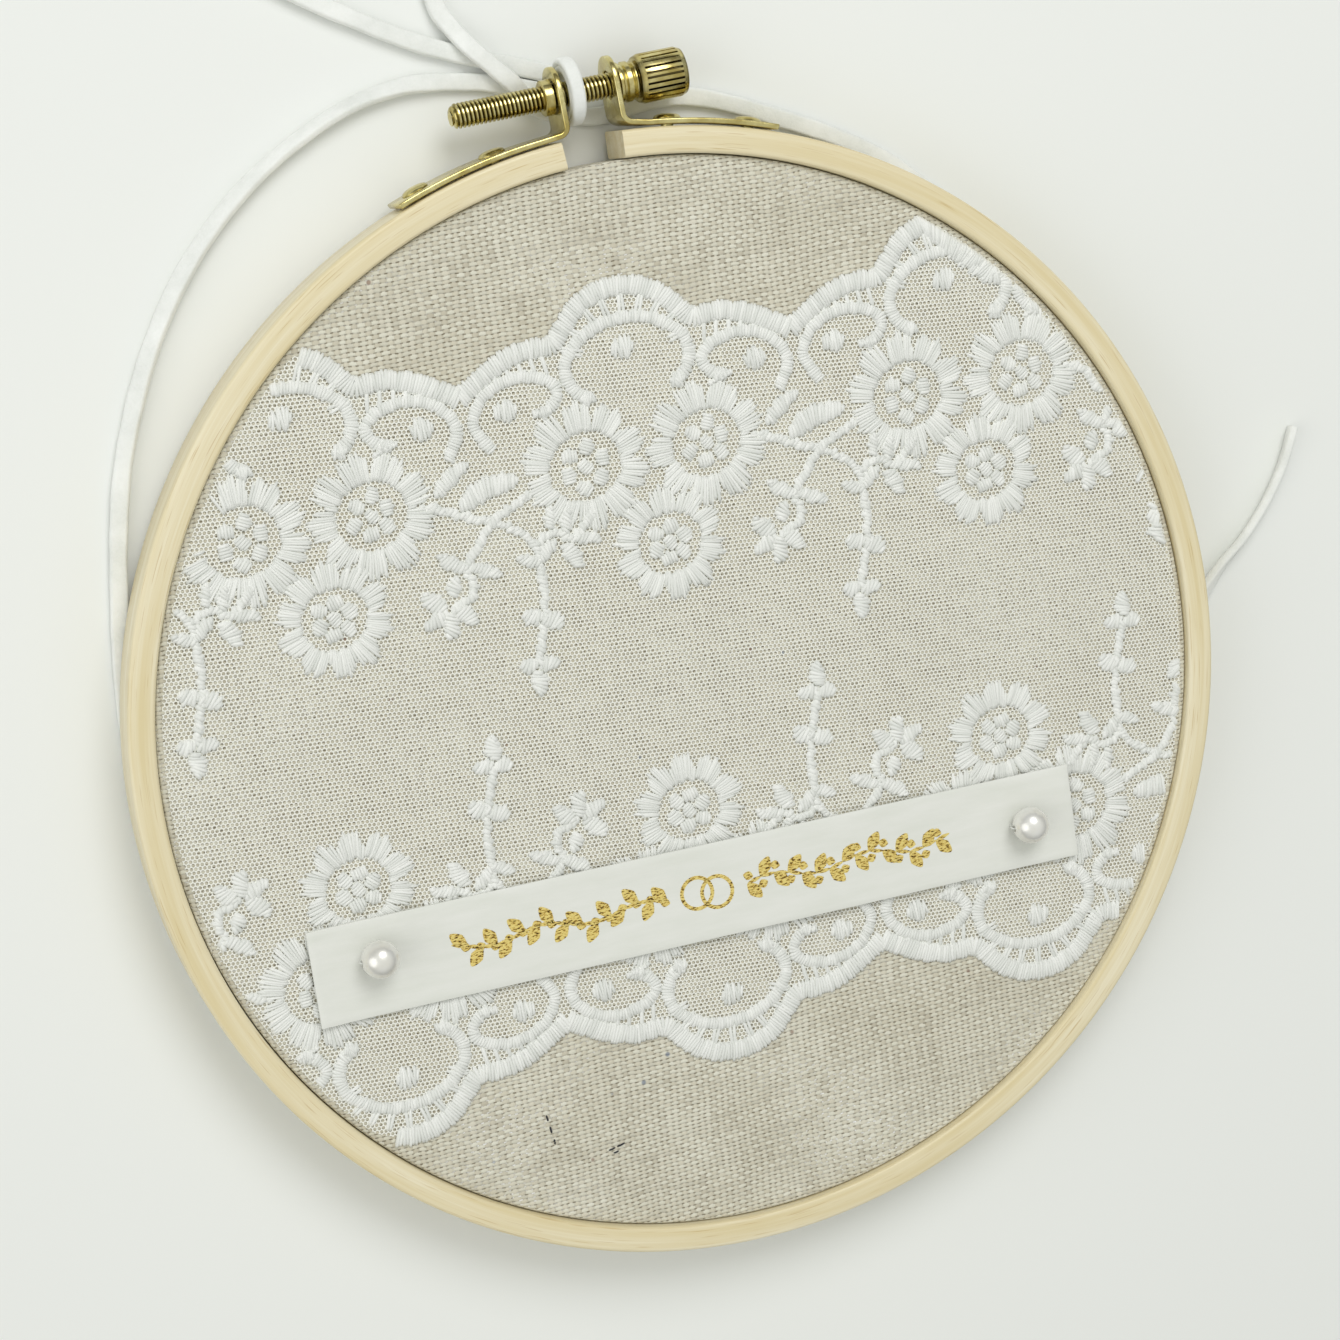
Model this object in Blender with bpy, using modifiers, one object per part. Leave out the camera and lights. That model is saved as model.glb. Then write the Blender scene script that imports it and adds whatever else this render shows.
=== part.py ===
"""Embroidery-hoop ring bearer pillow, laid on its back with its front up.

Linen and a lace overlay are stretched between two bamboo hoops.  The split outer hoop is drawn
together by a brass thumbscrew, and a flat cord is tied round that screw.
"""

from math import asin, cos, degrees, pi, radians, sin, sqrt

import bmesh
import bpy
from mathutils import Vector

MM = 0.001

# Driving dimensions, in millimetres.  Angles are in degrees.
touch_gap = 0.3             # space left between pieces that touch in the real object
hoop_height = 8.5           # height of either hoop
outer_hoop_radius = 81.0    # outside of the split outer hoop
outer_hoop_wall = 3.8
inner_hoop_wall = 4.0
hoop_edge_bevel = 0.5
hoop_segments = 120
cloth_thickness = 0.5       # linen with the net over it
lip_height = 1.2            # how far the outer hoop stands above the cloth
split_left = 3.8            # from the middle of the hoop to the left end of the split
split_right = 4.8

lace_thickness = 0.3
lace_side_margin = 0.5      # from the rim of the cloth to the cut sides of the lace
lace_repeat = 49.0          # length of one repeat of the embroidery
lace_big_scallop = 21.6     # width of the large scallop of a repeat
lace_big_rise = 6.7
lace_small_rise = 4.8
lace_shoulder_shift = 3.8   # from the edge of the large scallop to the crest of the small one
upper_valley = 50.7         # from the middle of the hoop to the deepest valley of each edge
lower_valley = 42.6
upper_phase = -1.2          # where a large scallop stands along each edge
lower_phase = -2.6
upper_slope = -0.9
lower_slope = -1.8

label_length = 116.0
label_width = 14.0
label_thickness = 0.4
label_centre = (-4.6, -27.2)
label_turn = -3.0
pearl_diameter = 5.2
pearl_bore = 1.0
pearl_places = ((-48.7, 1.6), (50.0, -0.2))   # along and across the label
thread_diameter = 0.4
stitch_hole = 1.2

strip_thickness = 0.8
strip_width = 7.5
strip_bend = 1.6
strip_reach = 19.8          # where a strip ends, from the top of the hoop
left_ear = -2.5             # middle of each ear's plate along the screw
right_ear = 5.7
screw_height = 6.1          # from the outside of the hoop up to the screw's axis
ear_crown = 4.05            # from the screw's axis up to the top of an ear
rivet_angles = (9.0, 17.3)
rivet_shank = 1.8
rivet_head = 3.5
rivet_head_height = 0.7
rivet_foot = 3.0
rivet_foot_height = 0.8

shank_diameter = 3.5
shank_tip = -17.5           # free end of the shank along the screw's axis
bush_wall = 0.45
bush_length = 1.2
ferrule_wall = 0.85
ferrule_length = 2.7
head_diameter = 6.9
head_length = 6.9
head_bore_depth = 5.0
head_ribs = 20
rib_depth = 0.35

cord_thickness = 1.4
cord_floor_gap = 0.05
wrap_diameter = 9.2
wrap_width = 2.9
groove_radius = 79.2        # where the long tail lies under the outer hoop

# Sizes that follow from the ones above.
inner_hoop_radius = outer_hoop_radius - outer_hoop_wall - cloth_thickness - 2 * touch_gap
cloth_bottom = hoop_height + touch_gap
cloth_top = cloth_bottom + cloth_thickness
cloth_radius = inner_hoop_radius + touch_gap
outer_hoop_top = cloth_top + lip_height
outer_hoop_bottom = outer_hoop_top - hoop_height
band_middle = (outer_hoop_top + outer_hoop_bottom) / 2
lace_bottom = cloth_top + touch_gap
label_bottom = lace_bottom + lace_thickness + touch_gap
label_top = label_bottom + label_thickness
pearl_height = label_top + touch_gap + pearl_diameter / 2
strip_inside = outer_hoop_radius + touch_gap
strip_outside = strip_inside + strip_thickness
screw_y = outer_hoop_radius + screw_height
hoop_centre_y = (outer_hoop_radius - screw_y - ear_crown) / 2
cord_height = cord_floor_gap + cord_thickness / 2
running_bore = shank_diameter / 2 + touch_gap
bush_radius = running_bore + bush_wall
ferrule_radius = running_bore + ferrule_wall
rivet_hole = rivet_shank / 2 + touch_gap
ferrule_start = right_ear + strip_thickness / 2 + touch_gap
head_start = ferrule_start + ferrule_length + touch_gap
wrap_start = left_ear + strip_thickness / 2 + touch_gap


def clear_scene():
    for obj in list(bpy.data.objects):
        bpy.data.objects.remove(obj, do_unlink=True)


def new_collection(name, hidden=False):
    group = bpy.data.collections.new(name)
    group.hide_render = hidden
    bpy.context.scene.collection.children.link(group)
    return group


def new_material(name, colour, roughness, metallic=0.0):
    finish = bpy.data.materials.new(name)
    finish.use_nodes = True
    shader = finish.node_tree.nodes["Principled BSDF"]
    shader.inputs["Base Color"].default_value = (*colour, 1.0)
    shader.inputs["Roughness"].default_value = roughness
    shader.inputs["Metallic"].default_value = metallic
    finish.diffuse_color = (*colour, 1.0)
    return finish


def place(name, data, finish, location=(0, 0, 0), turn=(0, 0, 0)):
    """Adds a piece of the object.  Location is in millimetres from the middle of the hoop."""
    obj = bpy.data.objects.new(name, data)
    pieces.objects.link(obj)
    obj.parent = hoop_centre
    obj.location = Vector(location) * MM
    obj.rotation_euler = [radians(angle) for angle in turn]
    data.materials.append(finish)
    return obj


def as_cutter(obj):
    pieces.objects.unlink(obj)
    cutters.objects.link(obj)
    obj.hide_render = True
    obj.display_type = "WIRE"
    return obj


def cut(obj, cutter):
    modifier = obj.modifiers.new("cut_" + cutter.name, "BOOLEAN")
    modifier.operation = "DIFFERENCE"
    modifier.solver = "EXACT"
    modifier.object = cutter


def mesh_of(name, shape):
    mesh = bpy.data.meshes.new(name)
    shape.to_mesh(mesh)
    shape.free()
    return mesh


def lathe(name, profile, finish, segments, location=(0, 0, 0), turn=(0, 0, 0), closed=False):
    """Turns a profile of (radius, height) points, listed down the outside from the top."""
    shape = bmesh.new()
    points = [shape.verts.new((radius * MM, 0, height * MM)) for radius, height in profile]
    for first, second in zip(points, points[1:]):
        shape.edges.new((first, second))
    if closed:
        shape.edges.new((points[-1], points[0]))
    obj = place(name, mesh_of(name, shape), finish, location, turn)
    screw = obj.modifiers.new("turn", "SCREW")
    screw.axis = "Z"
    screw.steps = segments
    screw.render_steps = segments
    screw.use_merge_vertices = True
    screw.merge_threshold = 0.00001
    return obj


def ring_profile(inner, outer, bottom, top, bevel):
    """A rectangle with its corners taken off, for a closed lathe."""
    return [
        (outer - bevel, top),
        (outer, top - bevel),
        (outer, bottom + bevel),
        (outer - bevel, bottom),
        (inner + bevel, bottom),
        (inner, bottom + bevel),
        (inner, top - bevel),
        (inner + bevel, top),
    ]


def rod(name, radius, start, end, finish, location=(0, 0, 0), turn=(0, 0, 0), segments=24):
    """A plain cylinder from start to end along its own Z."""
    shape = bmesh.new()
    bmesh.ops.create_cone(
        shape,
        cap_ends=True,
        segments=segments,
        radius1=radius * MM,
        radius2=radius * MM,
        depth=(end - start) * MM,
    )
    bmesh.ops.translate(shape, verts=shape.verts, vec=(0, 0, (start + end) / 2 * MM))
    return place(name, mesh_of(name, shape), finish, location, turn)


def block(name, low, high, finish, location=(0, 0, 0), turn=(0, 0, 0)):
    shape = bmesh.new()
    bmesh.ops.create_cube(shape, size=1.0)
    low, high = Vector(low) * MM, Vector(high) * MM
    bmesh.ops.scale(shape, verts=shape.verts, vec=high - low)
    bmesh.ops.translate(shape, verts=shape.verts, vec=(low + high) / 2)
    return place(name, mesh_of(name, shape), finish, location, turn)


def plate(name, outline, bottom, top, finish, location=(0, 0, 0), turn=(0, 0, 0)):
    """A flat outline filled and given its thickness, then made a mesh so that it can be cut."""
    curve = bpy.data.curves.new(name + "_outline", "CURVE")
    curve.dimensions = "2D"
    curve.fill_mode = "BOTH"
    curve.extrude = (top - bottom) / 2 * MM
    spline = curve.splines.new("POLY")
    spline.points.add(len(outline) - 1)
    for point, (x, y) in zip(spline.points, outline):
        point.co = (x * MM, y * MM, 0, 1)
    spline.use_cyclic_u = True
    source = bpy.data.objects.new(name + "_outline", curve)
    mesh = bpy.data.meshes.new_from_object(source)
    bpy.data.objects.remove(source)
    shape = bmesh.new()
    shape.from_mesh(mesh)
    bmesh.ops.remove_doubles(shape, verts=shape.verts, dist=0.000001)
    bmesh.ops.translate(shape, verts=shape.verts, vec=(0, 0, (bottom + top) / 2 * MM))
    shape.to_mesh(mesh)
    shape.free()
    return place(name, mesh, finish, location, turn)


def smooth_route(route, spacing):
    """Points at even spacing along a Catmull-Rom curve through the route."""
    knots = [Vector(point) for point in route]
    before = 2 * knots[0] - knots[1]
    after = 2 * knots[-1] - knots[-2]
    knots = [before, *knots, after]
    fine = []
    for a, b, c, d in zip(knots, knots[1:], knots[2:], knots[3:]):
        for step in range(20):
            t = step / 20
            bend = (2 * a - 5 * b + 4 * c - d) * t**2 + (3 * b - a - 3 * c + d) * t**3
            fine.append((2 * b + (c - a) * t + bend) / 2)
    fine.append(knots[-2])
    travelled = [0.0]
    for first, second in zip(fine, fine[1:]):
        travelled.append(travelled[-1] + (second - first).length)
    count = round(travelled[-1] / spacing)
    even = []
    index = 0
    for step in range(count + 1):
        wanted = travelled[-1] * step / count
        while index < len(fine) - 2 and travelled[index + 1] < wanted:
            index += 1
        span = travelled[index + 1] - travelled[index]
        even.append(fine[index].lerp(fine[index + 1], (wanted - travelled[index]) / span))
    return even


def tube(name, points, radius, finish, location=(0, 0, 0), turn=(0, 0, 0), closed=False):
    curve = bpy.data.curves.new(name, "CURVE")
    curve.dimensions = "3D"
    curve.bevel_depth = radius * MM
    curve.bevel_resolution = 2
    curve.use_fill_caps = not closed
    spline = curve.splines.new("POLY")
    spline.points.add(len(points) - 1)
    for target, point in zip(spline.points, points):
        target.co = (*(Vector(point) * MM), 1)
    spline.use_cyclic_u = closed
    return place(name, curve, finish, location, turn)


def on_circle(radius, angle, height=0.0):
    """A point at an angle from the top of the hoop, positive towards the right."""
    return Vector((radius * sin(radians(angle)), radius * cos(radians(angle)), height))


# The two hoops and the cloth between them.

def make_inner_hoop():
    profile = ring_profile(
        inner_hoop_radius - inner_hoop_wall, inner_hoop_radius, 0, hoop_height, hoop_edge_bevel
    )
    lathe("inner_hoop", profile, bamboo, hoop_segments, closed=True)


def make_outer_hoop():
    inside = outer_hoop_radius - outer_hoop_wall
    profile = ring_profile(
        inside, outer_hoop_radius, outer_hoop_bottom, outer_hoop_top, hoop_edge_bevel
    )
    hoop = lathe("outer_hoop", profile, bamboo, hoop_segments, closed=True)
    split = block(
        "split",
        (-split_left, inside - 5, outer_hoop_bottom - 1),
        (split_right, outer_hoop_radius + 1, outer_hoop_top + 1),
        bamboo,
    )
    cut(hoop, as_cutter(split))
    for side, angle in rivet_places():
        through = (inside - 2, outer_hoop_radius + 2)
        hole = rod(
            f"rivet_hole_{side}{angle:g}", rivet_hole, *through, brass,
            (0, 0, band_middle), rivet_turn(side * angle), segments=16,
        )
        cut(hoop, as_cutter(hole))
        pocket_top = inside + touch_gap + rivet_foot_height + touch_gap
        pocket = rod(
            f"rivet_pocket_{side}{angle:g}", rivet_foot / 2 + touch_gap, inside - 2, pocket_top,
            brass, (0, 0, band_middle), rivet_turn(side * angle), segments=16,
        )
        cut(hoop, as_cutter(pocket))


def stitch_places():
    """Where the pearls' threads pass through the label, the lace and the linen."""
    half = pearl_diameter / 2 + touch_gap + thread_diameter / 2
    for along, across in pearl_places:
        for side in (-half, half):
            yield label_point(along + side, across)


def label_point(along, across):
    turn = radians(label_turn)
    x = label_centre[0] + along * cos(turn) - across * sin(turn)
    y = label_centre[1] + along * sin(turn) + across * cos(turn)
    return x, y


def make_stitch_holes():
    return [
        as_cutter(
            rod(f"stitch_hole_{index}", stitch_hole / 2, cloth_bottom - 2, label_top + 2, thread,
                (x, y, 0), segments=12)
        )
        for index, (x, y) in enumerate(stitch_places())
    ]


def make_linen(stitch_holes):
    panel = rod(
        "linen_panel", cloth_radius, cloth_bottom, cloth_top, linen, segments=hoop_segments
    )
    for hole in stitch_holes:
        cut(panel, hole)
    skirt_inside = inner_hoop_radius + touch_gap
    profile = [
        (skirt_inside + cloth_thickness, hoop_height),
        (skirt_inside + cloth_thickness, 1.0),
        (skirt_inside, 1.0),
        (skirt_inside, hoop_height),
    ]
    lathe("linen_margin", profile, linen, hoop_segments, closed=True)


def scallop(along):
    """Height of the lace's edge above its deepest valley, at a place along the edge."""
    place_in_repeat = abs((along + lace_repeat / 2) % lace_repeat - lace_repeat / 2)
    half_big = lace_big_scallop / 2
    crest = half_big + lace_shoulder_shift
    small_half = lace_repeat / 2 - crest
    if place_in_repeat >= crest:
        share = (place_in_repeat - crest) / small_half
        return lace_small_rise * sqrt(max(0.0, 1 - share**2))
    if place_in_repeat >= half_big:
        return lace_small_rise
    share = place_in_repeat / half_big
    return lace_small_rise + lace_big_rise * sqrt(1 - share**2)


def lace_edge(valley, phase, slope, way):
    """The scalloped edge above (way 1) or below (way -1) the middle, within the hoop."""
    limit = cloth_radius - lace_side_margin
    turn = radians(slope)
    points = []
    for step in range(-80, 81):
        along = step * 1.0
        away = way * (valley + scallop(along - phase))
        x = along * cos(turn) - away * sin(turn)
        y = along * sin(turn) + away * cos(turn)
        if x * x + y * y < limit * limit:
            points.append((x, y))
    return points


def make_lace(stitch_holes):
    limit = cloth_radius - lace_side_margin
    top = lace_edge(upper_valley, upper_phase, upper_slope, 1)
    bottom = lace_edge(lower_valley, lower_phase, lower_slope, -1)
    outline = list(top)
    outline += side_arc(limit, top[-1], bottom[-1])
    outline += bottom[::-1]
    outline += side_arc(limit, bottom[0], top[0])
    lace = plate("lace_overlay", outline, lace_bottom, lace_bottom + lace_thickness, lace_white)
    for hole in stitch_holes:
        cut(lace, hole)


def side_arc(radius, start, end):
    """Points of the cut side of the lace, clockwise from one edge to the other."""
    first = 90 - degrees(Vector(start).angle_signed(Vector((1, 0))))
    last = 90 - degrees(Vector(end).angle_signed(Vector((1, 0))))
    while last < first:
        last += 360
    steps = round((last - first) / 4)
    return [tuple(on_circle(radius, first + (last - first) * i / steps).xy) for i in range(1, steps)]


# The label, with a pearl sewn on at either end.

def make_label(stitch_holes):
    half = Vector((label_length / 2, label_width / 2))
    label = block(
        "label_strip", (-half.x, -half.y, label_bottom), (half.x, half.y, label_top), label_white,
        (*label_centre, 0), (0, 0, label_turn),
    )
    for hole in stitch_holes:
        cut(label, hole)


def make_pearl(side, along, across):
    """A round pearl with a bore along the label, and the loop of thread that holds it."""
    radius = pearl_diameter / 2
    bore = pearl_bore / 2
    first = asin(bore / radius)
    profile = [
        (radius * sin(first + (pi - 2 * first) * step / 14),
         radius * cos(first + (pi - 2 * first) * step / 14))
        for step in range(15)
    ]
    spot = (*label_point(along, across), pearl_height)
    lathe(f"pearl_{side}", profile, pearl_white, 24, spot, (0, 90, label_turn), closed=True)
    reach = radius + touch_gap + thread_diameter / 2
    back = cloth_bottom - touch_gap - thread_diameter / 2
    round_off = 0.4
    loop = [
        (-reach, 0, back + round_off), (-reach, 0, pearl_height - round_off),
        (-reach + round_off, 0, pearl_height), (reach - round_off, 0, pearl_height),
        (reach, 0, pearl_height - round_off), (reach, 0, back + round_off),
        (reach - round_off, 0, back), (-reach + round_off, 0, back),
    ]
    tube(
        f"pearl_thread_{side}", loop, thread_diameter / 2, thread,
        (*label_point(along, across), 0), (0, 0, label_turn), closed=True,
    )


# The brass fittings that draw the outer hoop together.

def rivet_places():
    return [(side, angle) for side in (-1, 1) for angle in rivet_angles]


def rivet_turn(angle):
    """Turns a piece's own Z out of the hoop at an angle from its top."""
    return (0, 90, 90 - angle)


def make_bracket(name, side, ear):
    """A strip along the hoop that turns up into an ear.  Side is -1 for the left one."""
    middle = strip_inside + strip_thickness / 2
    bend_centre_x = ear + side * strip_bend
    foot_angle = degrees(asin(abs(bend_centre_x) / middle))
    steps = 8
    line = [
        on_circle(middle, side * (strip_reach + (foot_angle - strip_reach) * i / steps))
        for i in range(steps + 1)
    ]
    bend_centre_y = line[-1].y + strip_bend
    for angle in (-60, -30, 0):
        x = bend_centre_x - side * strip_bend * cos(radians(angle))
        line.append(Vector((x, bend_centre_y + strip_bend * sin(radians(angle)), 0)))
    line.append(Vector((ear, screw_y + ear_crown, 0)))
    shape = bmesh.new()
    low = band_middle - strip_width / 2
    verts = [shape.verts.new((p.x * MM, p.y * MM, low * MM)) for p in line]
    edges = [shape.edges.new(pair) for pair in zip(verts, verts[1:])]
    made = bmesh.ops.extrude_edge_only(shape, edges=edges)
    raised = [item for item in made["geom"] if isinstance(item, bmesh.types.BMVert)]
    bmesh.ops.translate(shape, verts=raised, vec=(0, 0, strip_width * MM))
    shape.verts.ensure_lookup_table()
    ends = {verts[0]: strip_width * 0.2, verts[-1]: strip_width * 0.47}
    for end, size in ends.items():
        corners = [v for v in shape.verts if (v.co.xy - end.co.xy).length < 0.00001]
        bmesh.ops.bevel(
            shape, geom=corners, offset=size * MM, segments=6, profile=0.5, affect="VERTICES"
        )
    bmesh.ops.recalc_face_normals(shape, faces=shape.faces)
    bracket = place(name, mesh_of(name, shape), brass)
    wall = bracket.modifiers.new("sheet", "SOLIDIFY")
    wall.thickness = strip_thickness * MM
    wall.offset = 0
    wall.use_even_offset = True
    hole = rod(
        name + "_screw_hole", running_bore, ear - 3, ear + 3, brass,
        (0, screw_y, band_middle), (0, 90, 0),
    )
    cut(bracket, as_cutter(hole))
    for angle in rivet_angles:
        hole = rod(
            f"{name}_hole_{angle:g}", rivet_hole, strip_inside - 2, strip_outside + 2, brass,
            (0, 0, band_middle), rivet_turn(side * angle), segments=16,
        )
        cut(bracket, as_cutter(hole))


def make_rivet(name, angle):
    """A rivet with a domed head on the strip and a foot sunk in the hoop's inner side."""
    foot = outer_hoop_radius - outer_hoop_wall + touch_gap
    head = strip_outside + touch_gap
    dome = [
        (rivet_head / 2 * sin(radians(turn)), head + rivet_head_height * cos(radians(turn)))
        for turn in (0, 25, 45, 65, 90)
    ]
    profile = dome + [
        (rivet_shank / 2, head),
        (rivet_shank / 2, foot + rivet_foot_height),
        (rivet_foot / 2, foot + rivet_foot_height),
        (rivet_foot / 2, foot),
        (0, foot),
    ]
    lathe(name, profile, brass, 16, (0, 0, band_middle), rivet_turn(angle))


def on_screw(name, profile, segments=32, closed=False):
    """A turned piece on the screw's axis, with its heights counted along the screw."""
    return lathe(name, profile, brass, segments, (0, screw_y, band_middle), (0, 90, 0), closed)


def make_bush():
    end = left_ear - strip_thickness / 2 - touch_gap
    profile = ring_profile(running_bore, bush_radius, end - bush_length, end, 0.15)
    on_screw("threaded_bush", profile, closed=True)


def make_ferrule():
    """The plain collar between the right ear and the knurled head, waisted at both ends."""
    start, end = ferrule_start, ferrule_start + ferrule_length
    outside = ferrule_radius
    profile = [
        (outside, end), (outside, end - 0.4), (outside - 0.4, end - 0.6),
        (outside - 0.1, start + 1.4), (outside - 0.4, start + 0.8), (outside - 0.1, start + 0.6),
        (outside - 0.1, start), (running_bore, start), (running_bore, end),
    ]
    on_screw("screw_ferrule", profile, closed=True)


def make_shank():
    end = head_start + head_bore_depth - touch_gap
    radius = shank_diameter / 2
    profile = [(0, end), (radius, end), (radius, shank_tip + 0.5), (radius - 0.5, shank_tip),
               (0, shank_tip)]
    on_screw("thumbscrew_shank", profile)


def make_head():
    """The knurled head: straight ribs round a drum, bored for the shank."""
    outline = []
    for rib in range(head_ribs):
        for share, depth in ((0.0, rib_depth), (0.2, 0), (0.6, 0), (0.8, rib_depth)):
            angle = 2 * pi * (rib + share) / head_ribs
            radius = head_diameter / 2 - depth
            outline.append((radius * cos(angle), radius * sin(angle)))
    head = plate(
        "thumbscrew_head", outline, head_start, head_start + head_length, brass,
        (0, screw_y, band_middle), (0, 90, 0),
    )
    bore = rod(
        "head_bore", running_bore, head_start - 2, head_start + head_bore_depth, brass,
        (0, screw_y, band_middle), (0, 90, 0),
    )
    cut(head, as_cutter(bore))


# The flat cord: a wrap round the screw, the loop it hangs by and two tails.

def make_wrap():
    profile = ring_profile(
        running_bore, wrap_diameter / 2, wrap_start, wrap_start + wrap_width, 0.5
    )
    wrap = on_screw("cord_wrap", profile, 24, closed=True)
    wrap.data.materials.clear()
    wrap.data.materials.append(cord_white)


def loop_route():
    """Out of the wrap to the upper left, round, and back over the other strands."""
    low = cord_height
    over = low + cord_thickness + 0.4
    return [
        (-0.5, 90.0, low), (-4, 91.4, low), (-8, 93.0, low), (-14.7, 95.8, low),
        (-21, 99.0, low), (-27.2, 102.8, low), (-33.5, 107.0, low), (-42, 113.5, low),
        (-49, 121.5, low), (-52.5, 131, low), (-51, 141, low), (-44, 148.5, low),
        (-34.5, 150.5, low), (-26, 146.5, low), (-20.5, 138.5, low), (-17.5, 127, low),
        (-16.2, 115, low), (-15.2, 103, low), (-13.6, 98.8, low + 0.5), (-11.6, 95.4, over),
        (-9.4, 92.8, over), (-7.0, 89.9, over), (-4.9, 87.1, low + 0.4), (-2.8, 85.3, low),
        (-0.6, 84.4, low),
    ]


def left_tail_route():
    """Round the left side, under the outer hoop to the right side, and out to its cut end."""
    low = cord_height
    out = [
        (-0.5, 87.2, low), (-4, 88.5, low), (-8, 89.9, low), (-13, 91.3, low), (-22.2, 92.4, low),
        (-32.6, 90.3, low), (-45.3, 84.0, low), (-55.7, 75.2, low), (-63.7, 64.7, low),
        (-70, 52.2, low), (-73.4, 41.5, low), (-75.5, 32.0, low), (-77.4, 22.0, low),
    ]
    under = [tuple(on_circle(groove_radius, -angle, low)) for angle in range(82, 252, 13)]
    back = [
        (77.6, -20.0, low), (80.8, -12.0, low), (84.0, -6.4, low), (88.0, -2.2, low),
        (92.6, 1.3, low), (97.0, 5.6, low), (101.0, 10.8, low), (103.8, 16.2, low),
    ]
    return out + under + back


def right_tail_route():
    """Under the head of the screw, along the outside of the hoop and in under it."""
    low = cord_height
    return [
        (0.5, 84.4, low), (3.6, 83.3, low), (7.5, 83.2, low), (13, 83.8, low), (18.7, 83.2, low),
        (25.0, 80.8, low), (31.4, 77.6, low), (38.2, 74.0, low), (45.4, 69.2, low),
        (51.6, 63.2, low), (57.2, 56.6, low), (62.0, 49.8, low), (66.0, 43.6, low),
        (69.4, 37.4, low),
    ]


def make_cords():
    spacing = cord_thickness * 3.4
    routes = (
        ("hanging_loop", loop_route(), spacing * 0.8),
        ("tail_left", left_tail_route(), spacing * 1.1),
        ("tail_right", right_tail_route(), spacing),
    )
    for name, route, step in routes:
        tube(name, smooth_route(route, step), cord_thickness / 2, cord_white)


clear_scene()
pieces = new_collection("ring_bearer_hoop")
cutters = new_collection("cutters", hidden=True)
hoop_centre = bpy.data.objects.new("hoop_centre", None)
hoop_centre.location = (0, hoop_centre_y * MM, 0)
pieces.objects.link(hoop_centre)

bamboo = new_material("bamboo", (0.72, 0.58, 0.33), 0.45)
linen = new_material("linen", (0.50, 0.43, 0.34), 0.9)
lace_white = new_material("lace_white", (0.86, 0.86, 0.84), 0.8)
label_white = new_material("label_white", (0.83, 0.83, 0.78), 0.6)
pearl_white = new_material("pearl_white", (0.84, 0.83, 0.80), 0.2)
thread = new_material("thread", (0.86, 0.86, 0.84), 0.7)
brass = new_material("brass", (0.80, 0.66, 0.35), 0.25, 1.0)
cord_white = new_material("cord_white", (0.86, 0.86, 0.83), 0.9)

make_inner_hoop()
make_outer_hoop()
holes = make_stitch_holes()
make_linen(holes)
make_lace(holes)
make_label(holes)
for pearl_side, pearl_place in zip(("left", "right"), pearl_places):
    make_pearl(pearl_side, *pearl_place)
make_bracket("bracket_left", -1, left_ear)
make_bracket("bracket_right", 1, right_ear)
for side_name, side_sign in (("left", -1), ("right", 1)):
    for rivet_number, rivet_angle in enumerate(rivet_angles, 1):
        make_rivet(f"rivet_{side_name}_{rivet_number}", side_sign * rivet_angle)
make_bush()
make_ferrule()
make_shank()
make_head()
make_wrap()
make_cords()
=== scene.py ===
import random
from math import atan, atan2, cos, degrees, exp, hypot, pi, radians, sin, sqrt

import bmesh
import bpy
from mathutils import Matrix, Vector


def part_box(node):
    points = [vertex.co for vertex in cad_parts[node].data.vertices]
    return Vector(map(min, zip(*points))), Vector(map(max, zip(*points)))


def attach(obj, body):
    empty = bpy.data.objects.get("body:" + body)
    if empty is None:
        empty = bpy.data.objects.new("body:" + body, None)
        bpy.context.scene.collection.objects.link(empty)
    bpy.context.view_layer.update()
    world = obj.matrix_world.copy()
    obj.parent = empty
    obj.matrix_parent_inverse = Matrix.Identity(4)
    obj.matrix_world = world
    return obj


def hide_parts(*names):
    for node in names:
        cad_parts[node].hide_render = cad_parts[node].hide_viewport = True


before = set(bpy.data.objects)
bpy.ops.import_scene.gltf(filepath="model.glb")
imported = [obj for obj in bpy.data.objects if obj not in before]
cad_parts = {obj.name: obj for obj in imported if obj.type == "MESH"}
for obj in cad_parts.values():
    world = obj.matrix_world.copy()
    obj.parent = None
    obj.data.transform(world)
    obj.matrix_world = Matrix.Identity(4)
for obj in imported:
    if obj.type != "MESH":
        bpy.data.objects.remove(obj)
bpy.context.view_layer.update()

mm = 0.001
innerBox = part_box("inner_hoop")
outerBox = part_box("outer_hoop")
hoopCentre = Vector(((innerBox[0].x + innerBox[1].x) / 2, (innerBox[0].y + innerBox[1].y) / 2, 0))
hoopTop = outerBox[1].z
rimTop = innerBox[1].z                 # the cloth is bent over this edge
clothTop = rimTop + 0.75 * mm
chance = random.Random(7)


# Small tools

def linear(code):                      # a hex colour as the shader wants it
    parts = [int(code[i:i + 2], 16) / 255 for i in (1, 3, 5)]
    return [c / 12.92 if c <= 0.04045 else ((c + 0.055) / 1.055) ** 2.4 for c in parts] + [1]


making = {}                            # the node tree of the material being made


def setSocket(socket, value):
    if isinstance(value, bpy.types.NodeSocket):
        making["tree"].links.new(value, socket)
    else:
        socket.default_value = value


def addNode(kind, links=None, output=None, **settings):
    node = making["tree"].nodes.new("ShaderNode" + kind)
    for key, value in settings.items():
        setattr(node, key, value)
    for key, value in (links or {}).items():
        named = [s for s in node.inputs if s.enabled and s.name == key]
        setSocket(node.inputs[key] if isinstance(key, int) else named[0], value)
    return node.outputs[output] if output else next(s for s in node.outputs if s.enabled)


def maths(operation, first, second=0.0, third=0.0):
    return addNode("Math", {0: first, 1: second, 2: third}, operation=operation)


def times(first, second):
    return maths("MULTIPLY", first, second)


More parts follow.
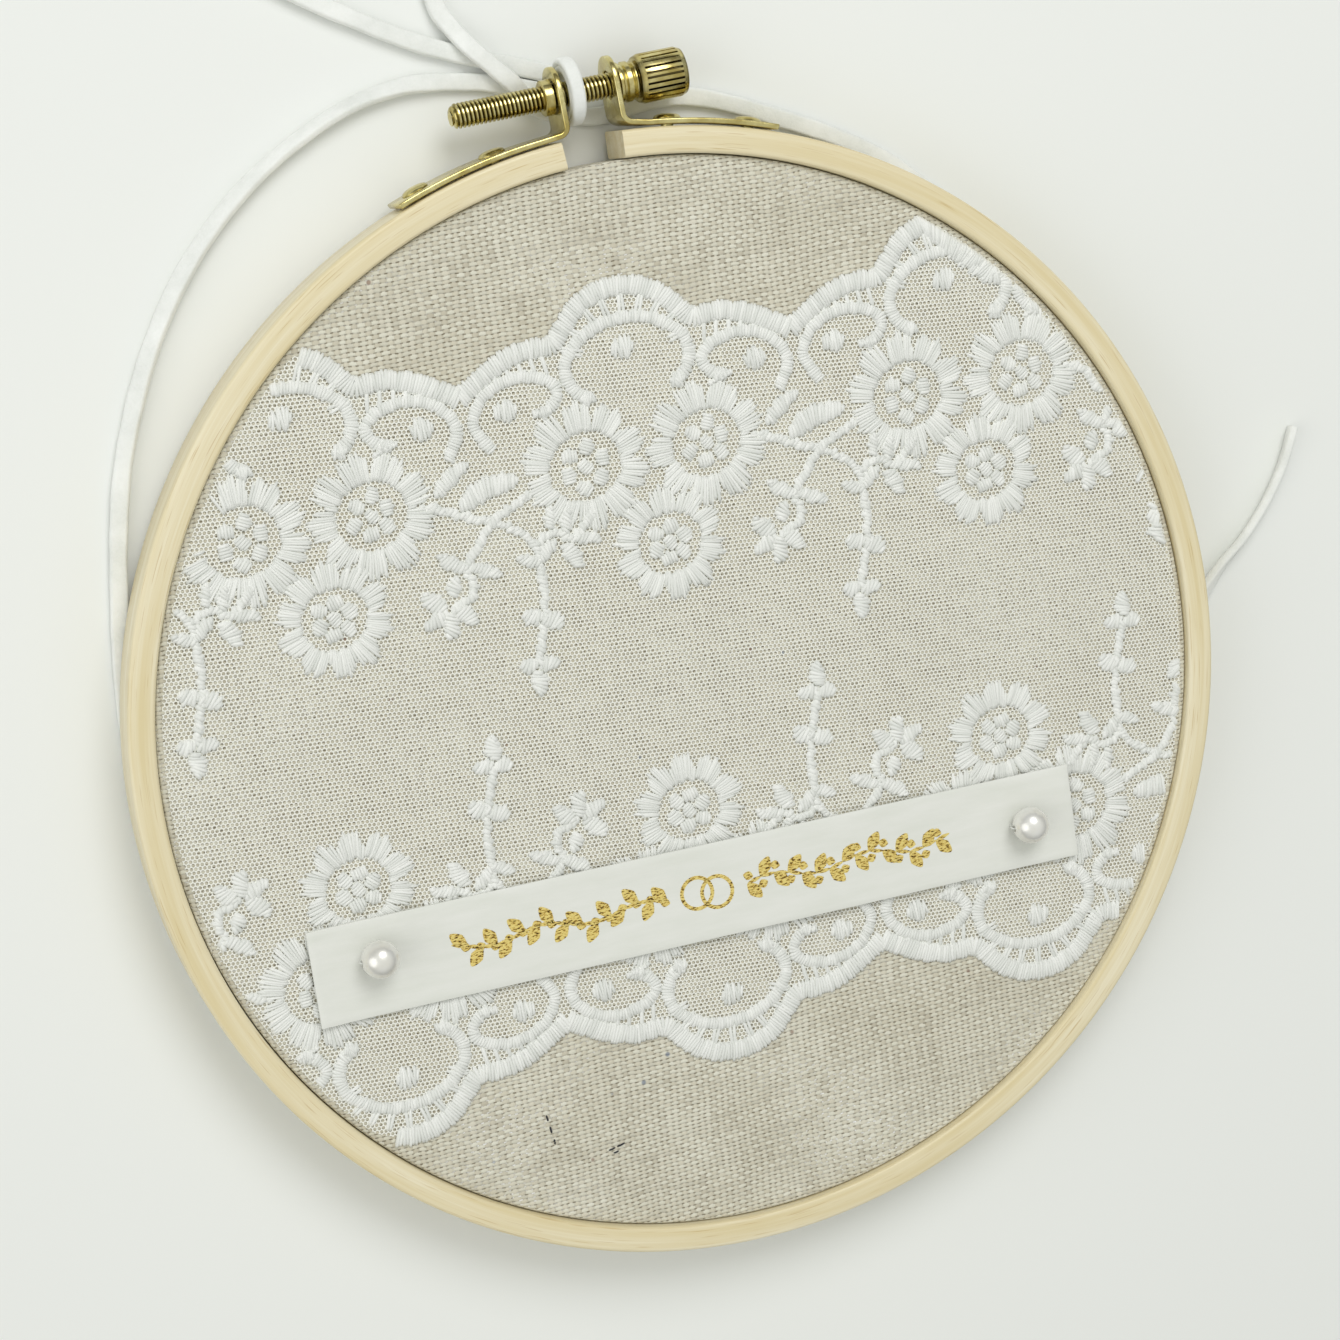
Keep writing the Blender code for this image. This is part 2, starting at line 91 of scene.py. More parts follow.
def newMaterial(name):
    material = bpy.data.materials.new(name)
    material.use_nodes = True
    making["tree"] = material.node_tree
    return material


def setShader(links):                  # the numbers and pictures that reach the one shader
    for key, value in links.items():
        setSocket(making["tree"].nodes["Principled BSDF"].inputs[key], value)


def blendColours(factor, first, second, how="MIX"):      # first and second: nodes or hex colours
    first, second = (linear(c) if isinstance(c, str) else c for c in (first, second))
    return addNode("Mix", {"Factor": factor, "A": first, "B": second}, data_type="RGBA", blend_type=how)


def spread(value, low, high, newLow=0.0, newHigh=1.0):
    return addNode("MapRange", {"Value": value, "From Min": low, "From Max": high,
                                "To Min": newLow, "To Max": newHigh})


def noise(where, scale, detail=3.0, rough=0.5, **settings):
    return addNode("TexNoise", {"Vector": where, "Scale": scale, "Detail": detail, "Roughness": rough},
                   **settings)


def ownPlace():
    return addNode("TexCoord", output="Object")


def mapped(where, turn=(0, 0, 0), scale=(1, 1, 1)):
    return addNode("Mapping", {"Vector": where, "Rotation": turn, "Scale": scale})


def bump(height, depth, strength=1.0):
    return addNode("Bump", {"Height": height, "Distance": depth, "Strength": strength})


def deselectAll():
    if bpy.context.mode != "OBJECT":
        setMode("OBJECT")
    bpy.ops.object.select_all(action="DESELECT")


def makeActive(obj):
    deselectAll()
    obj.select_set(True)
    bpy.context.view_layer.objects.active = obj


def primitive(kind, name, **settings):     # its place goes into its mesh
    deselectAll()
    getattr(bpy.ops.mesh, "primitive_" + kind + "_add")(**settings)
    obj = bpy.context.object
    obj.name = name
    obj.data.name = name
    bpy.ops.object.transform_apply()
    return obj


def setMode(mode):
    bpy.ops.object.mode_set(mode=mode)


def selectMesh():
    bpy.ops.mesh.select_all(action="SELECT")


def extrude(part, move, size=None, **settings):    # of the region or the edges that are selected
    getattr(bpy.ops.mesh, "extrude_" + part + "_move")(TRANSFORM_OT_translate={"value": move})
    if size:
        bpy.ops.transform.resize(value=size, **settings)


def pick(kind, test):                  # in edit mode: selects the corners, edges or faces that pass
    bpy.ops.mesh.select_mode(type=kind)
    bpy.ops.mesh.select_all(action="DESELECT")
    mesh = bmesh.from_edit_mesh(bpy.context.object.data)
    for part in {"VERT": mesh.verts, "EDGE": mesh.edges, "FACE": mesh.faces}[kind]:
        middle = part.co if kind == "VERT" else sum((v.co for v in part.verts), Vector()) / len(part.verts)
        if test(middle, part):
            part.select_set(True)
    mesh.select_flush_mode()
    bmesh.update_edit_mesh(bpy.context.object.data)


def faceOut(obj, join=False):
    makeActive(obj)
    setMode("EDIT")
    selectMesh()
    if join:
        bpy.ops.mesh.remove_doubles(threshold=0.001 * mm)
    bpy.ops.mesh.normals_make_consistent(inside=False)
    setMode("OBJECT")


def cleanMesh(obj):
    faceOut(obj, join=True)


def modify(obj, kind, **settings):
    makeActive(obj)
    modifier = obj.modifiers.new(kind.title(), kind)
    for key, value in settings.items():
        setattr(modifier, key, value)
    bpy.ops.object.modifier_apply(modifier=modifier.name)


def place(obj, turn=(0, 0, 0), at=(0, 0, 0)):
    makeActive(obj)
    obj.rotation_euler = [radians(a) for a in turn]
    obj.location = at
    bpy.ops.object.transform_apply()
    return obj


def joinAll(name, objects):
    deselectAll()
    for obj in objects:
        obj.select_set(True)
    bpy.context.view_layer.objects.active = objects[0]
    bpy.ops.object.join()
    objects[0].name = name
    return objects[0]


def copyOf(obj):
    new = obj.copy()
    new.data = obj.data.copy()
    bpy.context.scene.collection.objects.link(new)
    return new


def finishPiece(obj, material, body, slot, *nodes, angle=40):
    makeActive(obj)
    bpy.ops.object.shade_smooth_by_angle(angle=radians(angle))
    obj.data.materials.clear()
    obj.data.materials.append(material)
    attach(obj, body)
    if nodes:
        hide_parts(*nodes)
    return obj


def meshPiece(name, corners, faces):
    mesh = bpy.data.meshes.new(name)
    mesh.from_pydata([tuple(c) for c in corners], [], faces)
    mesh.update()
    obj = bpy.data.objects.new(name, mesh)
    bpy.context.scene.collection.objects.link(obj)
    return obj


def tube(name, corners, count):        # closed, from rings of count corners each
    rows = len(corners) // count
    faces = [(first + k, first + (k + 1) % count, first + count + (k + 1) % count, first + count + k)
             for first in range(0, (rows - 1) * count, count) for k in range(count)]
    faces += [tuple(range(count))[::-1], tuple(range((rows - 1) * count, rows * count))]
    obj = meshPiece(name, corners, faces)
    cleanMesh(obj)
    return obj


def smoothLine(points, step):          # a Catmull-Rom line through the points, evenly spaced
    ends = [points[0] * 2 - points[1], *points, points[-1] * 2 - points[-2]]
    fine = []
    for a, b, c, d in zip(ends, ends[1:], ends[2:], ends[3:]):
        for k in range(12):
            t = k / 12
            fine.append(0.5 * (2 * b + (c - a) * t + (2 * a - 5 * b + 4 * c - d) * t * t
                               + (3 * b - a - 3 * c + d) * t ** 3))
    fine.append(points[-1].copy())
    total = sum((b - a).length for a, b in zip(fine, fine[1:]))
    count = max(1, round(total / step))
    even, gone, target = [fine[0].copy()], 0.0, total / count
    for a, b in zip(fine, fine[1:]):
        part = (b - a).length
        while part > 0 and gone + part >= target * len(even) and len(even) < count:
            even.append(a + (b - a) * ((target * len(even) - gone) / part))
        gone += part
    even.append(fine[-1].copy())
    return even


def lineLength(points):
    return sum((b - a).length for a, b in zip(points, points[1:]))


# Camera: it looks down on the hoop from its upper left

cameraLook = {"lens": 80.6, "distance": 0.4249, "tilt": 19.51, "towards": 142.2, "upright": 11.6,
              "aim": (-3.5 * mm, 5.8 * mm)}


def makeCamera():
    look = cameraLook
    tilt, towards, upright = (radians(look[k]) for k in ("tilt", "towards", "upright"))
    back = Vector((sin(tilt) * cos(towards), sin(tilt) * sin(towards), cos(tilt)))
    up = Vector((sin(upright), cos(upright), 0))
    up = (up - back * up.dot(back)).normalized()
    aim = Vector((look["aim"][0], look["aim"][1], hoopTop)) + hoopCentre
    turn = Matrix((up.cross(back), up, back)).transposed().to_4x4()
    data = bpy.data.cameras.new("camera")
    data.lens = look["lens"]
    data.sensor_width = 36
    data.clip_start = 0.01
    camera = bpy.data.objects.new("camera", data)
    bpy.context.scene.collection.objects.link(camera)
    camera.matrix_world = Matrix.Translation(aim + back * look["distance"]) @ turn
    bpy.context.scene.camera = camera
    print("camera made")


# Hanging cord: flat white faux suede, one loop and two tails tied round the screw

cordLook = {"width": 2.5 * mm, "thickness": 1.3 * mm, "gap": 0.08 * mm, "low": 0.75, "over": 2.55,
            "white": "#F3F5F1", "shade": "#E3E6E1"}


def cordMaterial():                    # brushed faux suede with a short nap
    material = newMaterial("fauxSuedeCord")
    where = ownPlace()
    nap = noise(where, 2600.0, 4.0, 0.7)
    patches = noise(where, 160.0, 3.0, 0.6)
    shade = spread(patches, 0.35, 0.65)
    colour = blendColours(shade, cordLook["shade"], cordLook["white"])
    colour = blendColours(spread(nap, 0.3, 0.7, 0.0, 0.25), colour, "#FFFFFF")
    height = maths("ADD", nap, times(patches, 1.2))
    setShader({"Base Color": colour, "Roughness": 0.95, "Sheen Weight": 0.45, "Sheen Roughness": 0.5,
               "Normal": bump(height, 0.12 * mm, 0.6)})
    return material


def cordRoutes():                      # in mm from the hoop's centre, as the solids' routes
    low, over = cordLook["low"], cordLook["over"]
    loop = [(-0.5, 90.0, low), (-4, 91.4, low), (-8, 93.0, low), (-14.7, 95.8, low), (-21, 99.0, low),
            (-27.2, 102.8, low), (-33.5, 107.0, low), (-42, 113.5, low), (-49, 121.5, low),
            (-52.5, 131, low), (-51, 141, low), (-44, 148.5, low), (-34.5, 150.5, low), (-26, 146.5, low),
            (-20.5, 138.5, low), (-17.5, 127, low), (-16.2, 115, low), (-15.2, 103, low),
            (-13.6, 98.8, low + 0.5), (-11.6, 95.4, over), (-9.4, 92.8, over), (-7.0, 89.9, over),
            (-4.9, 87.1, low + 0.4), (-2.8, 85.3, low), (-0.6, 84.4, low)]
    left = [(-0.5, 87.2), (-4, 88.5), (-8, 89.9), (-13, 91.3), (-22.2, 92.4), (-32.6, 90.3), (-45.3, 84.0),
            (-55.7, 75.2), (-63.7, 64.7), (-70, 52.2), (-73.4, 41.5), (-75.5, 32.0), (-77.4, 22.0)]
    for angle in range(82, 252, 13):
        left.append((-79.2 * sin(radians(angle)), 79.2 * cos(radians(angle))))
    left += [(77.6, -20.0), (80.8, -12.0), (84.0, -6.4), (88.0, -2.2), (92.6, 1.3), (97.0, 5.6),
             (101.0, 10.8), (103.8, 16.2)]
    right = [(0.5, 84.4), (3.6, 83.3), (7.5, 83.2), (13, 83.8), (18.7, 83.2), (25.0, 80.8), (31.4, 77.6),
             (38.2, 74.0), (45.4, 69.2), (51.6, 63.2), (57.2, 56.6), (62.0, 49.8), (66.0, 43.6),
             (69.4, 37.4)]
    return loop, [(x, y, low) for x, y in left], [(x, y, low) for x, y in right]


def roundedSection(width, thickness, corner, steps=3):
    points = []
    for sx, sy, first in ((1, 1, 0), (-1, 1, 90), (-1, -1, 180), (1, -1, 270)):
        for k in range(steps + 1):
            angle = radians(first + 90 * k / steps)
            points.append((sx * (width / 2 - corner) + corner * cos(angle),
                           sy * (thickness / 2 - corner) + corner * sin(angle)))
    return points


def flatCord(name, route, rolls):      # rolls: the twist in degrees at shares of the length
    look = cordLook
    line = smoothLine([Vector(p) * mm + hoopCentre for p in route], 0.9 * mm)
    section = roundedSection(look["width"], look["thickness"], 0.42 * mm)
    corners, path = [], []
    for i, point in enumerate(line):
        share = i / (len(line) - 1)
        before = max(r for r in rolls if r[0] <= share)
        after = min(r for r in rolls if r[0] >= share)
        mix = 0 if after[0] == before[0] else (share - before[0]) / (after[0] - before[0])
        mix = mix * mix * (3 - 2 * mix)
        roll = radians(before[1] + (after[1] - before[1]) * mix)
        along = (line[min(i + 1, len(line) - 1)] - line[max(i - 1, 0)]).normalized()
        across = along.cross(Vector((0, 0, 1))).normalized()
        across = Matrix.Rotation(roll, 3, along) @ across
        over = across.cross(along).normalized()
        half = (abs(cos(roll)) * look["thickness"] + abs(sin(roll)) * look["width"]) / 2
        lift = point.z - look["low"] * mm
        middle = Vector((point.x, point.y, max(half + look["gap"] + lift, point.z)))
        path.append(middle)
        swell = 1 + 0.03 * sin(i * 0.37) + 0.02 * sin(i * 0.91 + 1)
        corners += [middle + across * (u * swell) - over * v for u, v in section]
    return tube(name, corners, len(section)), path


def makeCords():
    material = cordMaterial()
    wrap = makeWrap(material)
    loop, left, right = cordRoutes()
    plans = (("hangingLoop", loop, [(0, 0), (0.2, 12), (0.5, 0), (0.8, -10), (1, 0)],
              "object", "hanging_loop"),
             ("leftTail", left, [(0, 0), (0.03, 0), (0.08, 62), (0.16, 38), (0.28, 0), (0.9, 0),
                                 (0.96, 66), (1, 74)], "bare", "tail_left"),
             ("rightTail", right, [(0, 0), (0.3, 10), (0.6, 0), (1, 0)], "bare", "tail_right"))
    for name, route, rolls, end, node in plans:
        cord, path = flatCord(name, route, rolls)
        finishPiece(cord, material, "outer_hoop_body", "cord", node)
        round(lineLength(path), 3)
        print(name, "made,", round(lineLength(path) * 1000), "mm long")


# The wrap: the middle of the cord wound round the screw between the ears

wrapLook = {"turns": 1.9, "inner": 2.1 * mm, "step": 1.08 * mm, "thickness": 1.1 * mm, "width": 1.95 * mm}


def makeWrap(material):
    look = wrapLook
    low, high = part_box("cord_wrap")
    middle = (low + high) / 2
    section = roundedSection(look["width"], look["thickness"], 0.5 * mm, 4)
    corners, rows = [], 90
    for i in range(rows):
        share = i / (rows - 1)
        angle = -pi / 2 + 0.25 - 2 * pi * look["turns"] * share
        radius = look["inner"] + look["thickness"] / 2 + look["step"] * look["turns"] * share * 0.92
        outward = Vector((0, cos(angle), sin(angle)))
        sway = Vector((0.12 * mm * sin(angle + 0.4) + 0.1 * mm * (share - 0.5), 0, 0))
        lean = 0.06 * sin(angle + 0.5)
        for u, v in section:
            corners.append(middle + sway + Vector((u, 0, 0)) + outward * (radius + v + u * lean))
    wrap = tube("cordWrap", corners, len(section))
    return finishPiece(wrap, material, "outer_hoop_body", "cord", "cord_wrap")


# Bamboo hoops

bambooLook = {"pale": "#EEE5C8", "straw": "#DFD0A4", "fibre": "#C3A76B", "edge": 0.55 * mm, "steps": 240,
              "inner": (72.1, 76.1), "outer": (77.2, 81.0)}


def bambooMaterial(name, pale, straw, fibre):    # lacquered bamboo, its fibres running round the hoop
    material = newMaterial(name)
    where = ownPlace()
    where = addNode("Mapping", {"Vector": where, "Location": -hoopCentre})
    parts = addNode("SeparateXYZ", {"Vector": where}).node.outputs
    flat = addNode("CombineXYZ", {"X": parts["X"], "Y": parts["Y"]})
    radius = addNode("VectorMath", {0: flat}, output="Value", operation="LENGTH")

    def fibres(slow, fast, detail, shift):       # stretched along the hoop, fine across it
        stretched = addNode("CombineXYZ", {"X": times(parts["X"], slow), "Y": times(parts["Y"], slow),
                                           "Z": maths("MULTIPLY_ADD", parts["Z"], fast, shift)})
        return addNode("TexNoise", {"Vector": stretched, "W": times(radius, fast), "Scale": 1.0,
                                    "Detail": detail, "Roughness": 0.6}, noise_dimensions="4D")
    broad = fibres(22.0, 700.0, 3.0, 0.0)
    fine = fibres(60.0, 4200.0, 4.0, 9.0)
    flecks = fibres(150.0, 5200.0, 1.0, 31.0)
    colour = blendColours(spread(broad, 0.36, 0.66), straw, pale)
    colour = blendColours(spread(fine, 0.42, 0.72, 0.0, 0.55), colour, straw)
    colour = blendColours(spread(flecks, 0.63, 0.72, 0.0, 0.55), colour, fibre)
    height = maths("ADD", fine, times(broad, 0.6))
    setShader({"Base Color": colour, "Roughness": spread(fine, 0.3, 0.7, 0.38, 0.55), "Coat Weight": 0.35,
               "Coat Roughness": 0.22, "Specular IOR Level": 0.45, "Normal": bump(height, 0.05 * mm, 0.5)})
    return material


def makeHoop(name, sides, low, high, start, sweepAngle, waviness):
    inside, outside = (s * mm for s in sides)
    middle = (inside + outside) / 2
    first = radians(start)
    hoop = primitive("plane", name, size=1, location=(0, 0, 0), rotation=(radians(90), 0, 0))
    hoop.scale = (outside - inside, 1, high - low)
    hoop.location = (middle, 0, (low + high) / 2)
    bpy.ops.object.transform_apply()
    place(hoop, (0, 0, start))
    setMode("EDIT")
    selectMesh()
    bpy.ops.mesh.bevel(offset=bambooLook["edge"], segments=4, affect="VERTICES")
    selectMesh()
    bpy.ops.mesh.spin(steps=round(bambooLook["steps"] * sweepAngle / 360), dupli=False,
                      angle=-radians(sweepAngle), center=(0, 0, 0), axis=(0, 0, 1))
    setMode("OBJECT")
    cleanMesh(hoop)
    if sweepAngle >= 360:              # the face where the two ends met lies inside
        setMode("EDIT")
        pick("FACE", lambda c, f: abs(atan2(c.y, c.x) - first) < 1e-4 and len(f.verts) > 4)
        bpy.ops.mesh.delete(type="ONLY_FACE")
        setMode("OBJECT")
        cleanMesh(hoop)
    for v in hoop.data.vertices:       # a bent strip of bamboo is never quite even
        angle = atan2(v.co.y, v.co.x)
        v.co.z += waviness * (sin(3 * angle + 1) + 0.6 * sin(7 * angle + 2)) * 0.5
        v.co.xy = v.co.xy * (1 + waviness * (sin(2 * angle) + 0.5 * sin(5 * angle)) / 0.08 * 0.35)
    place(hoop, at=hoopCentre)
    return hoop


def makeHoops():
    look = bambooLook
    inner = makeHoop("innerHoop", look["inner"], innerBox[0].z + 0.05 * mm, innerBox[1].z, 200, 360,
                     0.04 * mm)
    finishPiece(inner, bambooMaterial("innerBamboo", "#E6D9B4", look["straw"], "#B8985C"),
                "inner_hoop_body", "bamboo", "inner_hoop")
    gap = (3.45, 2.76)                 # degrees from the top of the hoop to either end of the split
    outer = makeHoop("outerHoop", look["outer"], outerBox[0].z, outerBox[1].z, 90 + gap[1], 360 - sum(gap),
                     0.05 * mm)
    finishPiece(outer, bambooMaterial("outerBamboo", look["pale"], look["straw"], look["fibre"]),
                "outer_hoop_body", "bamboo", "outer_hoop")
    print("hoops made")


# Linen, stretched over the inner hoop with its cut margin in the gap

linenLook = {"warpPitch": 0.965 * mm, "weftPitch": 0.6 * mm, "turn": 3.0, "thickness": 0.32 * mm,
             "radius": 77.05 * mm, "margin": 7.4 * mm, "frays": 210, "warp": "#D9D4C2", "weft": "#E1DFCF",
             "dark": "#8E8370", "light": "#FBFAF2"}


def linenMaterial():                   # plain-woven undyed linen, with slubs; painted shade darkens the gaps between threads and painted light whitens the open spots
    look = linenLook
    material = newMaterial("undyedLinen")
    where = addNode("UVMap", uv_map="cloth")
    wander = noise(where, 55.0, 2.0, output="Color")
    wander = addNode("VectorMath", {0: wander, 1: (0.5, 0.5, 0.5)}, operation="SUBTRACT")
    wander = addNode("VectorMath", {0: wander, "Scale": 2.2}, operation="SCALE")
    perMetre = (1 / look["warpPitch"], 1 / look["weftPitch"], 1)
    threads = mapped(where, (0, 0, radians(look["turn"])), perMetre)
    threads = addNode("VectorMath", {0: threads, 1: wander}, operation="ADD")
    jitter = addNode("VectorMath", {0: noise(where, 650.0, 1.0, output="Color"), "Scale": 0.55},
                     operation="SCALE")
    threads = addNode("VectorMath", {0: threads, 1: jitter}, operation="ADD")
    u, v = (addNode("SeparateXYZ", {"Vector": threads}).node.outputs[k] for k in "XY")

    def wave(value):
        return maths("SINE", times(value, pi))
    waveU, waveV = wave(u), wave(v)
    upU, upV = (maths("ABSOLUTE", w) for w in (waveU, waveV))
    warpOver = maths("GREATER_THAN", times(waveU, waveV), 0.0)

    def threadTone(along, across):     # each thread has its own tone, changing slowly along it
        spot = addNode("CombineXYZ", {"X": times(maths("FLOOR", across), 7.31), "Y": times(along, 0.085)})
        return noise(spot, 1.0, 2.0)
    tones = addNode("Mix", {"Factor": warpOver, "A": threadTone(u, v), "B": threadTone(v, u)})
    across = addNode("Mix", {"Factor": warpOver, "A": upV, "B": upU})
    along = addNode("Mix", {"Factor": warpOver, "A": upU, "B": upV})
    slub = spread(tones, 0.35, 0.7, 0.75, 0.38)
    height = times(maths("POWER", across, slub), maths("MULTIPLY_ADD", along, 0.38, 0.62))
    colour = blendColours(warpOver, look["weft"], look["warp"])
    colour = blendColours(spread(tones, 0.3, 0.52, 0.3, 0.0), colour, look["dark"])
    colour = blendColours(spread(tones, 0.52, 0.75, 0.0, 0.22), colour, look["light"])
    patches = noise(where, 30.0, 3.0)
    # painted shade: the low gaps between the threads are darkened towards brown
    slot = times(spread(upU, 0.86, 0.55), spread(upV, 0.66, 0.3))
    slot = times(slot, spread(noise(threads, 0.8, 1.0), 0.3, 0.62, 0.45, 1.0))
    openSpots = times(spread(patches, 0.46, 0.56), spread(noise(threads, 0.9, 0.0), 0.5, 0.58))
    colour = blendColours(times(slot, 0.9), colour, "#7A705A")
    # painted light: at the open spots the gaps are whitened as if light showed through the weave
    hole = times(spread(slot, 0.35, 0.75), openSpots)
    colour = blendColours(hole, colour, "#FDFDFA")
    clouds = spread(noise(where, 48.0, 3.0, 0.6), 0.35, 0.68, 0.0, 0.4)
    colour = blendColours(clouds, colour, "#E3DFD6", "MULTIPLY")
    cells = addNode("TexVoronoi", {"Vector": where, "Scale": 210.0}).node.outputs
    rare = addNode("SeparateXYZ", {"Vector": cells["Color"]}).node.outputs
    fleck = times(spread(cells["Distance"], 0.09, 0.05), maths("GREATER_THAN", rare["X"], 0.86))
    fleckColour = blendColours(maths("GREATER_THAN", rare["Y"], 0.5), "#8A6A5A", "#6E7C93")
    colour = blendColours(times(fleck, 0.7), colour, fleckColour)
    hairs = noise(where, 5200.0, 2.0)
    relief = maths("MULTIPLY_ADD", hairs, 0.18, height)
    setShader({"Base Color": colour, "Roughness": 0.88, "Sheen Weight": 0.25, "Sheen Roughness": 0.5,
               "Specular IOR Level": 0.3, "Normal": bump(relief, 0.16 * mm, 0.8)})
    return material


def clothLift(x, y):                   # how far the stretched cloth stands off flat
    swell = 0.10 * sin(x / mm / 19 + 1.3) * sin(y / mm / 23 + 0.4)
    swell += 0.05 * sin((x + y) / mm / 9 + 2)
    return swell * mm * max(0.0, 1 - (hypot(x, y) / (76 * mm)) ** 4)


def makeLinen():
    look = linenLook
    rim = look["radius"]
    linen = primitive("circle", "linenCloth", vertices=144, radius=rim - 0.35 * mm, fill_type="NGON")
    setMode("EDIT")
    pick("FACE", lambda c, f: True)
    for ring in range(24):
        bpy.ops.mesh.inset(thickness=(1.2 if ring < 6 else 3.6) * mm)
    bpy.ops.mesh.poke()
    pick("EDGE", lambda c, e: e.is_boundary)
    downs = [(0.22, -0.05), (0.13, -0.2), (0.0, -0.3)] + [(0.0, -look["margin"] / mm / 8)] * 8
    spreadOut = rim - 0.35 * mm
    for out, down in downs:            # over the rim and down the outside of the inner hoop
        wider = (spreadOut + out * mm) / spreadOut
        extrude("edges", (0, 0, down * mm), (wider, wider, 1), center_override=(0, 0, 0))
        spreadOut *= wider
    setMode("OBJECT")
    cleanMesh(linen)
    uv = linen.data.uv_layers.new(name="cloth")
    for loop in linen.data.loops:      # the weave runs on over the rim
        v = linen.data.vertices[loop.vertex_index].co
        reach = 1 + max(0.0, -v.z) / rim
        uv.data[loop.index].uv = (v.x * reach, v.y * reach)
    for v in linen.data.vertices:
        angle = atan2(v.co.y, v.co.x)
        if v.co.z > -0.3 * mm:
            v.co.z += clothLift(v.co.x, v.co.y)
        else:                          # the cut edge is uneven
            v.co.z *= 1 + 0.05 * sin(9 * angle) + 0.04 * sin(23 * angle + 1)
    place(linen, at=hoopCentre + Vector((0, 0, clothTop)))
    modify(linen, "SOLIDIFY", thickness=look["thickness"], offset=-1)
    material = linenMaterial()
    finishPiece(linen, material, "inner_hoop_body", "linen", "linen_panel", "linen_margin", angle=60)
    frays = makeFrays(material)
    makeDarkThreads()
    print("linen made")


def makeDarkThreads():                 # a few short black threads woven in by chance
    material = newMaterial("blackFleckThread")
    where = ownPlace()
    fuzz = noise(where, 5000.0, 2.0)
    setShader({"Base Color": blendColours(fuzz, "#1C1D22", "#3A3B42"), "Roughness": 0.8,
               "Normal": bump(fuzz, 0.05 * mm)})
    pieces = []
    for x, y, dx, dy in ((-34.2, -53.2, 0.1, -0.8), (-34.0, -55.0, 0.05, -0.9), (-33.8, -57.0, 0.0, -0.7),
                         (-26.2, -61.0, 0.9, 0.15), (-24.9, -60.8, 1.1, 0.2), (-25.6, -61.6, 0.7, 0.1)):
        a, b = Vector((x, y, 0)) * mm, Vector((x + dx, y + dy, 0)) * mm
        lift = Vector((0, 0, clothTop + clothLift(a.x, a.y) + 0.05 * mm))
        line = [a + lift - Vector((0, 0, 0.15 * mm)), (a + b) / 2 + lift + Vector((0, 0, 0.05 * mm)),
                b + lift - Vector((0, 0, 0.15 * mm))]
        pieces.append(roundThread("darkThread", [p + hoopCentre for p in line], 0.14 * mm))
    finishPiece(joinAll("darkThreads", pieces), material, "inner_hoop_body", "linen")


def makeFrays(material):               # loose thread ends along the cut margin
    hair = primitive("cylinder", "frayedThread", vertices=5, radius=0.09 * mm, depth=1 * mm,
                     location=(0, 0, -0.5 * mm))
    setMode("EDIT")
    pick("FACE", lambda c, f: f.normal.z < -0.9)
    extrude("region", (0.12 * mm, 0, -0.8 * mm), (0.5, 0.5, 0.5))
    setMode("OBJECT")
    hair.data.uv_layers.new(name="cloth")
    hairs = []
    for k in range(linenLook["frays"]):
        angle = radians(k * 360 / linenLook["frays"] + chance.uniform(-0.6, 0.6))
        new = copyOf(hair)
        spot = Vector((cos(angle), sin(angle), 0)) * (linenLook["radius"] - 0.05 * mm)
        spot.z = clothTop - 7.3 * mm + chance.uniform(0, 0.5) * mm
        turn = Matrix.Rotation(chance.uniform(-0.25, 0.25), 4, "X")
        turn = turn @ Matrix.Rotation(chance.uniform(-0.12, 0.12), 4, "Y")
        new.data.transform(Matrix.Translation(hoopCentre + spot) @ Matrix.Rotation(angle, 4, "Z") @ turn
                           @ Matrix.Scale(chance.uniform(0.35, 0.7), 4))
        hairs.append(new)
    bpy.data.objects.remove(hair)
    frays = joinAll("frayedMargin", hairs)
    return finishPiece(frays, material, "inner_hoop_body", "linen")


# Lace: a net between two scalloped edges, embroidered by machine

laceLook = {"repeat": 49.0, "upper": {"centre": -1.3, "slope": -0.9, "rise": 0.0, "way": 1},
            "lower": {"centre": 2.3, "slope": -1.8, "rise": -8.3, "way": -1}, "net": 0.62 * mm,
            "reach": 76.2 * mm, "lift": 0.17 * mm, "columns": 150, "rows": 44,
            "height": 0.42 * mm, "limit": 75.7 * mm, "white": "#F1F2EE", "shade": "#E2E4DF"}
outerBand = [(0, 60.25), (3.0, 59.8), (6.0, 58.3), (8.4, 55.9), (10.2, 54.0), (12.4, 54.0), (15.2, 53.9),
             (18.2, 53.0), (21.2, 51.4), (24.5, 49.4)]
bigArc = [(6.1, 45.3), (8.3, 47.2), (9.2, 49.7), (8.0, 52.4), (4.8, 54.8), (0, 55.8)]
smallArc = [(13.6, 44.7), (11.3, 46.3), (10.7, 48.0), (11.8, 49.4), (14.0, 50.3), (16.6, 50.6),
            (19.6, 49.9), (22.0, 48.2), (23.2, 46.0), (22.9, 44.0), (21.3, 41.4)]
flowers = [  # place, outer and inner radius
    (-8.7, 36.5, 9.3, 5.0), (9.3, 36.2, 9.0, 4.8), (1.4, 23.4, 8.3, 4.4)]
dots = [(-0.4, 51.7, 1.6, 1.7), (18.5, 46.4, 1.6, 1.6), (-18.5, 46.4, 1.6, 1.6),
        (13.4, 45.2, 1.3, 0.8), (-13.4, 45.2, 1.3, 0.8), (6.7, 45.8, 1.0, 1.1), (-6.7, 45.8, 1.0, 1.1)]
